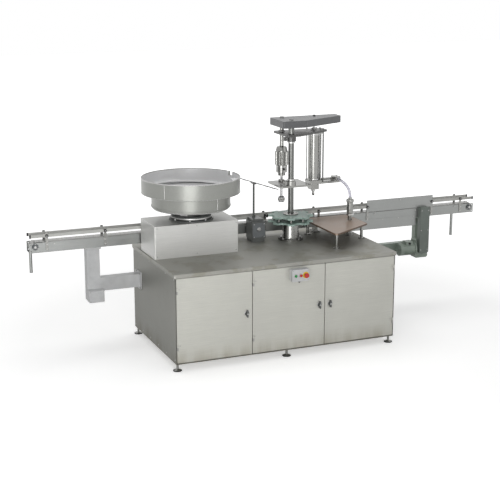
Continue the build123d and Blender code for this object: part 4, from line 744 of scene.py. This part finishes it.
# Stations: hub, motor fins, knurls, cylinder rings, unions, nozzle
def makeStationDetail():
    turnedPiece("hubRing", [(31, 0), (66, 0), (66, 9), (63, 12), (31, 12)], [(150, 200, 1020)], "star", "polishedSteel",
                segments=72, hollow=True)
    turnedPiece("housingGrease", [(0, 0), (4, 0), (4, 3), (2.6, 4), (2.6, 7), (3.6, 9), (2, 12), (0, 12)],
                [(150, 132, 868)], "machine", "boltSteel", front, 20)
    turnedPiece("housingSeal", [(40.6, 0), (55, 0), (54, 0.9), (40.6, 0.9)], [(150, 200, 935)], "machine",
                "rubberBlack", segments=64, hollow=True)
    ribbedRing("cappingMotorFins", dict(ribs=26, radius=52.5, depth=5.5, inner=50, height=118, power=3),
               [(150, 400, 1424)], "yoke", "polishedSteel")
    turnedPiece("cappingMotorBands", [(47, 0), (49.8, 0), (49.8, 6), (47, 6)], [(150, 400, 1362), (150, 400, 1408)],
                "yoke", "boltSteel", segments=56, hollow=True)
    turnedPiece("cappingMotorGland", [(0, -2), (9, -2, 6), (9, 7, 6), (6.5, 9), (6, 16), (0, 16)], [(150, 352.5, 1390)],
                "yoke", "rubberBlack", front, 24)
    ribbedRing("headKnurl", dict(ribs=40, radius=30.2, depth=1.3, inner=28, height=20), [(150, 400, 1108)], "spindle",
               "polishedSteel")
    turnedPiece("headGrip", [(19.5, -0.6), (27, -0.6), (28.5, 3), (28.5, 6), (19.5, 6)], [(150, 400, 1095)], "spindle",
                "rubberBlack", segments=48, hollow=True)
    turnedPiece("cylinderRings", [(49, 0), (52.6, 0), (53.4, 2), (53.4, 12), (52.6, 14), (49, 14)],
                [(460, 400, 1269), (460, 400, 1670)], "machine", "boltSteel", segments=64, hollow=True)
    turnedPiece("rodGland", [(8.6, 0), (24, 0, 6), (24, 10, 6), (18, 12), (18, 16), (8.6, 16)], [(460, 400, 1718)],
                "machine", "boltSteel", segments=36, hollow=True)
    turnedPiece("tubeCollar", [(21.4, 0), (30, 0), (30, 7), (28, 9), (21.4, 9)], [(150, 400, 1718)], "machine",
                "boltSteel", segments=48, hollow=True)
    turnedPiece("nozzleNut", [(10.6, 0), (17, 0, 6), (17, 14, 6), (13, 16), (10.6, 16)], [(460, 400, 1166)], "machine",
                "boltSteel", segments=36, hollow=True)
    turnedPiece("nozzleTip", [(7.4, 0), (9.4, 0), (12.4, 8), (12.4, 16), (10.6, 18), (7.4, 18)], [(460, 400, 1127)],
                "machine", "polishedSteel", segments=36, hollow=True)
    turnedPiece("yokeWashers", [(10, 0), (25, 0), (25, 1.6), (24, 2.6), (10, 2.6)], [(150, 200, 1835), (150, 400, 1835)],
                "yoke", "boltSteel", segments=48, hollow=True)
    turnedPiece("mastCollars", [(25.2, 0), (33, 0), (33, 12), (31.5, 14), (25.2, 14)],
                [(150, 200, 1644), (150, 200, 1318)], "machine", "boltSteel", segments=48, hollow=True)
    turnedPiece("portNut", [(0, 0), (17, 0, 6), (17, 11, 6), (14, 13), (0, 13)], [(670, 340, 1271)], "machine",
                "boltSteel", front, 36)
    turnedPiece("strainerNut", [(23, 0), (33.5, 0, 8), (33.5, 13, 8), (30, 15), (23, 15)], [(690, 130, 985)],
                "machine", "boltSteel", segments=40, hollow=True)
    ribbedRing("strainerCap", dict(ribs=14, radius=31.5, depth=2.2, inner=29, height=20, power=2), [(690, 130, 1101)],
               "machine", "polishedSteel")
    turnedPiece("pipeUnions", [(18, 0), (27, 0, 6), (27, 20, 6), (22, 22), (22, 27), (18, 27)], [(690, 130, 804)],
                "machine", "boltSteel", segments=36, hollow=True)
    turnedPiece("pipeFlange", [(19.2, 0), (40, 0), (40, 3), (38, 4), (19.2, 4)], [(690, 130, 800)], "machine",
                "polishedSteel", segments=56, hollow=True)
    boxPiece("driveCover", [((-208, 197, 838), (-90, 203, 966))], "machine", "ironPaint", 3, 3)
    turnedPiece("driveDial", [(0, 0), (16, 0), (16, 4), (13, 5), (12, 14), (10, 15.5), (0, 15.5)], [(-149, 197, 912)],
                "machine", "boltSteel", front, 40)


# Conveyor: clamp knobs, rail ends, bearing caps, motor fan grille, side guard and drip skirt
conveyorDetail = dict(knobZ=988, railZ=(975, 1000), guardX=(972, 1658), guardZ=(941, 1046), skirtX=(792, 1488),
                      skirtZ=(776, 850))


def makeConveyorDetail(part):
    knob = dict(ribs=5, radius=10.5, depth=2.6, inner=2, height=9, power=0.7)
    ribbedRing("clampKnobsFront", knob, rectangle(bracketFront, (341.5,), (part["knobZ"],)), "machine", "rubberBlack",
               front)
    ribbedRing("clampKnobsBack", knob, rectangle(bracketRear, (458.5,), (part["knobZ"],)), "machine", "rubberBlack",
               back)
    knobCap = [(0, 0), (4.5, 0), (4.5, 1.2), (3.5, 2.0), (0, 2.0)]
    turnedPiece("knobPinsFront", knobCap, rectangle(bracketFront, (333,), (part["knobZ"],)), "machine", "boltSteel",
                front, 20)
    turnedPiece("knobPinsBack", knobCap, rectangle(bracketRear, (467,), (part["knobZ"],)), "machine", "boltSteel",
                back, 20)
    low, high = part["railZ"]
    ends = [(x, y) for x in (-2095, 2095) for y in (350.5, 449.5)] + [(-5, 350.5), (305, 350.5)]
    boxPiece("railEnds", [((x - 7, y - 3.6, low - 1.2), (x + 7, y + 3.6, high + 1.2)) for x, y in ends], "machine",
             "rubberBlack", 1.2)
    turnedPiece("shaftCapsFront", [(0, 0), (12, 0), (12, 2), (9, 4.5), (0, 5)], [(x, 334, conveyor["wheelZ"]) for x in (
        -2057.4, 2057.4)], "machine", "boltSteel", front, 32)
    turnedPiece("shaftCapsBack", [(0, 0), (12, 0), (12, 2), (9, 4.5), (0, 5)], [(x, 466, conveyor["wheelZ"]) for x in (
        -2057.4, 1560, 2057.4)], "machine", "boltSteel", back, 32)
    grille = [(0, 0)] + [(r + d, 3.0 - 2.2 * (k % 2)) for k, r in enumerate(range(8, 54, 5)) for d in (0, 3.2)]
    turnedPiece("fanGrille", grille + [(58, 0), (57, -4), (0, -4)], [(1330.4, 370, 550)], "machine", "greenPaint", left,
                48)
    turnedPiece("motorGland", [(0, -2), (10, -2, 6), (10, 8, 6), (7, 10), (6.5, 17), (0, 17)], [(1425, 334, 608)],
                "machine", "rubberBlack", front, 24)
    x0, x1 = part["guardX"]
    z0, z1 = part["guardZ"]
    y = 342
    boxPiece("railGuard", [((x0, y - 1.2, z0), (x1, y + 0.8, z1)), ((x0, y - 1.2, z1 - 2), (x1, y + 14, z1))],
             "machine", "conveyorSteel", 0.8)
    x0, x1 = part["skirtX"]
    z0, z1 = part["skirtZ"]
    boxPiece("dripSkirt", [((x0, 346.2, z0), (x1, 348, z1 + 22)), ((x0, 346.2, z0), (x1, 362, z0 + 2))],
             "machine", "conveyorSteel", 0.8)
    makeFasteners([
        ("guardPlateScrews", "panScrew", 6, rectangle((990, 1315, 1640), (340.8,), (1030,)), front, "machine"),
        ("skirtScrews", "panScrew", 6, rectangle(np.linspace(815, 1465, 5), (346.2,), (862,)), front, "machine"),
    ])


# Loading table edge band, and the welded corners of the deck
def makeDeckDetail():
    outline = np.array([(330, 336), (330, -330), (765, -60), (765, 336)], float)
    corner = 18
    loop = []
    for before, here, after in zip(np.roll(outline, 1, 0), outline, np.roll(outline, -1, 0)):
        toBefore = (before - here) / np.linalg.norm(before - here)
        toAfter = (after - here) / np.linalg.norm(after - here)
        half = math.acos(np.clip(toBefore @ toAfter, -1, 1)) / 2
        reach = corner / math.tan(half)
        t = np.linspace(0, 1, 7)[:, None]
        start, end = here + toBefore * reach, here + toAfter * reach
        loop.append((1 - t) ** 2 * start + 2 * t * (1 - t) * (here + (start + end) / 2) / 2 + t ** 2 * end)
    loop = np.concatenate(loop)
    path = np.column_stack([loop, np.full(len(loop), 933.0)])
    # the edge band in its dark brown is painted shade on the loading table's edges
    sweptPiece("tableEdge", [path], [(-1.0, -7.2), (1.0, -7.2), (1.6, -6), (1.6, 6), (1.0, 7.2), (-1.0, 7.2)],
               "machine", "boardEdgePaintedShade", closed=True)
    welds = [np.array([(x, y, z) for z in (772, 785, 797)], float) for x in (-1176.8, 776.8) for y in (-556.8, 556.8)]
    sweptPiece("deckCornerWelds", welds, circle(1.1, 8), "machine", "boltSteel", normal=right)


# Stage, light and camera
stage = dict(
    eye=(-4.00, -8.8753, 3.1936), yaw=22.551, pitch=14.039, lens=84.69,
    floorColor=(0.90, 0.90, 0.89), floorSize=60.0, floorFade=(2.2, 7.0, 0.40, 1.0),
    floorDim=(0.35, 1.0, 0.0), floorLevels=(-2.6, 0.2, 0.80, 0.14),
    brightSide=(-0.25, -1.0, 0.30), roomLevels=(0.05, 0.62), mirrorShare=1.0,
)


def makeStage():
    floorMesh = bpy.data.meshes.new("studioFloor")
    half = stage["floorSize"] / 2
    floorMesh.from_pydata([(-half, -half, 0), (half, -half, 0), (half, half, 0), (-half, half, 0)], [], [(0, 1, 2, 3)])
    floor = bpy.data.objects.new("studioFloor", floorMesh)
    scene.collection.objects.link(floor)
    material, tree, shader = makeMaterial("floorPaper", stage["floorColor"], 0.9)
    # what the camera or a clear part sees is the lit floor plus a glow that grows with the distance from the machine
    place = addNode(tree, "ShaderNodeTexCoord")
    reach = addNode(tree, "ShaderNodeVectorMath", operation="LENGTH")
    fade = addNode(tree, "ShaderNodeMapRange")
    for socket, value in zip(fade.inputs[1:5], stage["floorFade"]):
        socket.default_value = value
    tree.links.new(place.outputs["Object"], reach.inputs[0])
    tree.links.new(reach.outputs["Value"], fade.inputs[0])
    # what lights the machine is a floor that gets darker towards the back right; mirrors see it only for the share of
    # glossy rays that mirrorShare leaves out
    away = addNode(tree, "ShaderNodeVectorMath", operation="DOT_PRODUCT")
    away.inputs[1].default_value = stage["floorDim"]
    level = addNode(tree, "ShaderNodeMapRange")
    for socket, value in zip(level.inputs[1:5], stage["floorLevels"]):
        socket.default_value = value
    dim = addNode(tree, "ShaderNodeBsdfDiffuse")
    tree.links.new(place.outputs["Object"], away.inputs[0])
    tree.links.new(away.outputs["Value"], level.inputs[0])
    tree.links.new(level.outputs[0], dim.inputs["Color"])
    glow = addNode(tree, "ShaderNodeEmission")
    tree.links.new(fade.outputs[0], glow.inputs["Strength"])
    seen = addNode(tree, "ShaderNodeAddShader")
    tree.links.new(shader.outputs[0], seen.inputs[0])
    tree.links.new(glow.outputs[0], seen.inputs[1])
    tree.links.new(backgroundPick(tree, dim.outputs[0], seen.outputs[0]), tree.nodes["Material Output"].inputs[0])
    floorMesh.materials.append(material)

    world = bpy.data.worlds.new("studio")
    scene.world = world
    world.use_nodes = True
    tree = world.node_tree
    back = tree.nodes["Background"]
    back.inputs["Color"].default_value = (0.98, 0.985, 1.0, 1)
    # the room is bright on the side of one direction and dim on the other: strength rises with the dot product
    place = addNode(tree, "ShaderNodeTexCoord")
    side = addNode(tree, "ShaderNodeVectorMath", operation="DOT_PRODUCT")
    side.inputs[1].default_value = Vector(stage["brightSide"]).normalized()
    level = addNode(tree, "ShaderNodeMapRange")
    for socket, value in zip(level.inputs[1:5], (-1.0, 1.0, *stage["roomLevels"])):
        socket.default_value = value
    tree.links.new(place.outputs["Generated"], side.inputs[0])
    tree.links.new(side.outputs["Value"], level.inputs[0])
    tree.links.new(level.outputs[0], back.inputs["Strength"])
    white = addNode(tree, "ShaderNodeBackground")
    white.inputs["Color"].default_value = (1, 1, 1, 1)
    tree.links.new(backgroundPick(tree, back.outputs[0], white.outputs[0]), tree.nodes["World Output"].inputs[0])


def backgroundPick(tree, lighting, seen):
    # camera and transmission rays see the plain background, mirrors see a share of it, other rays see the light
    rays = addNode(tree, "ShaderNodeLightPath")
    either = addNode(tree, "ShaderNodeMath", operation="MAXIMUM")
    mirror = addNode(tree, "ShaderNodeMath", operation="MULTIPLY")
    most = addNode(tree, "ShaderNodeMath", operation="MAXIMUM")
    pick = addNode(tree, "ShaderNodeMixShader")
    mirror.inputs[1].default_value = stage["mirrorShare"]
    tree.links.new(rays.outputs["Is Camera Ray"], either.inputs[0])
    tree.links.new(rays.outputs["Is Transmission Ray"], either.inputs[1])
    tree.links.new(rays.outputs["Is Glossy Ray"], mirror.inputs[0])
    tree.links.new(either.outputs[0], most.inputs[0])
    tree.links.new(mirror.outputs[0], most.inputs[1])
    tree.links.new(most.outputs[0], pick.inputs[0])
    tree.links.new(lighting, pick.inputs[1])
    tree.links.new(seen, pick.inputs[2])
    return pick.outputs[0]


def makeLamp(name, place, target, size, power):
    lamp = bpy.data.lights.new(name, "AREA")
    lamp.shape = "RECTANGLE"
    lamp.size, lamp.size_y = size
    lamp.energy = power
    holder = bpy.data.objects.new(name, lamp)
    scene.collection.objects.link(holder)
    holder.location = place
    holder.rotation_euler = (Vector(target) - Vector(place)).to_track_quat("-Z", "Y").to_euler()


def makeCamera():
    camera = bpy.data.cameras.new("camera")
    camera.lens = stage["lens"]
    camera.sensor_width = 36
    camera.sensor_height = 36
    camera.sensor_fit = "HORIZONTAL"
    camera.clip_end = 200
    holder = bpy.data.objects.new("camera", camera)
    scene.collection.objects.link(holder)
    holder.location = stage["eye"]
    holder.rotation_euler = (math.radians(90 - stage["pitch"]), 0, math.radians(-stage["yaw"]))
    scene.camera = holder


makeStage()
makeCamera()
makeLamp("keyLamp", (-2.7, -4.6, 1.2), (-1.0, -0.5, 0.3), (2.6, 1.6), 84)
makeLamp("fillLamp", (3.6, -4.5, 3.6), (0.2, 0, 0.8), (3.0, 3.0), 20)
makeLamp("topLamp", (-0.4, 1.5, 5.5), (0, 0, 0.9), (5.0, 3.0), 80)
scene.view_settings.view_transform = "Standard"
print("stage ready")

makeHose(supplyHose)
makeSlats(chainSlats)
print("hose and slats made")
makeFasteners(fastenerGroups)
print("fasteners made")
makeCabinetDetail(cabinet)
makeControls(controls)
makeFeederDetail(feeder)
makeStationDetail()
makeConveyorDetail(conveyorDetail)
makeDeckDetail()
print("details made")
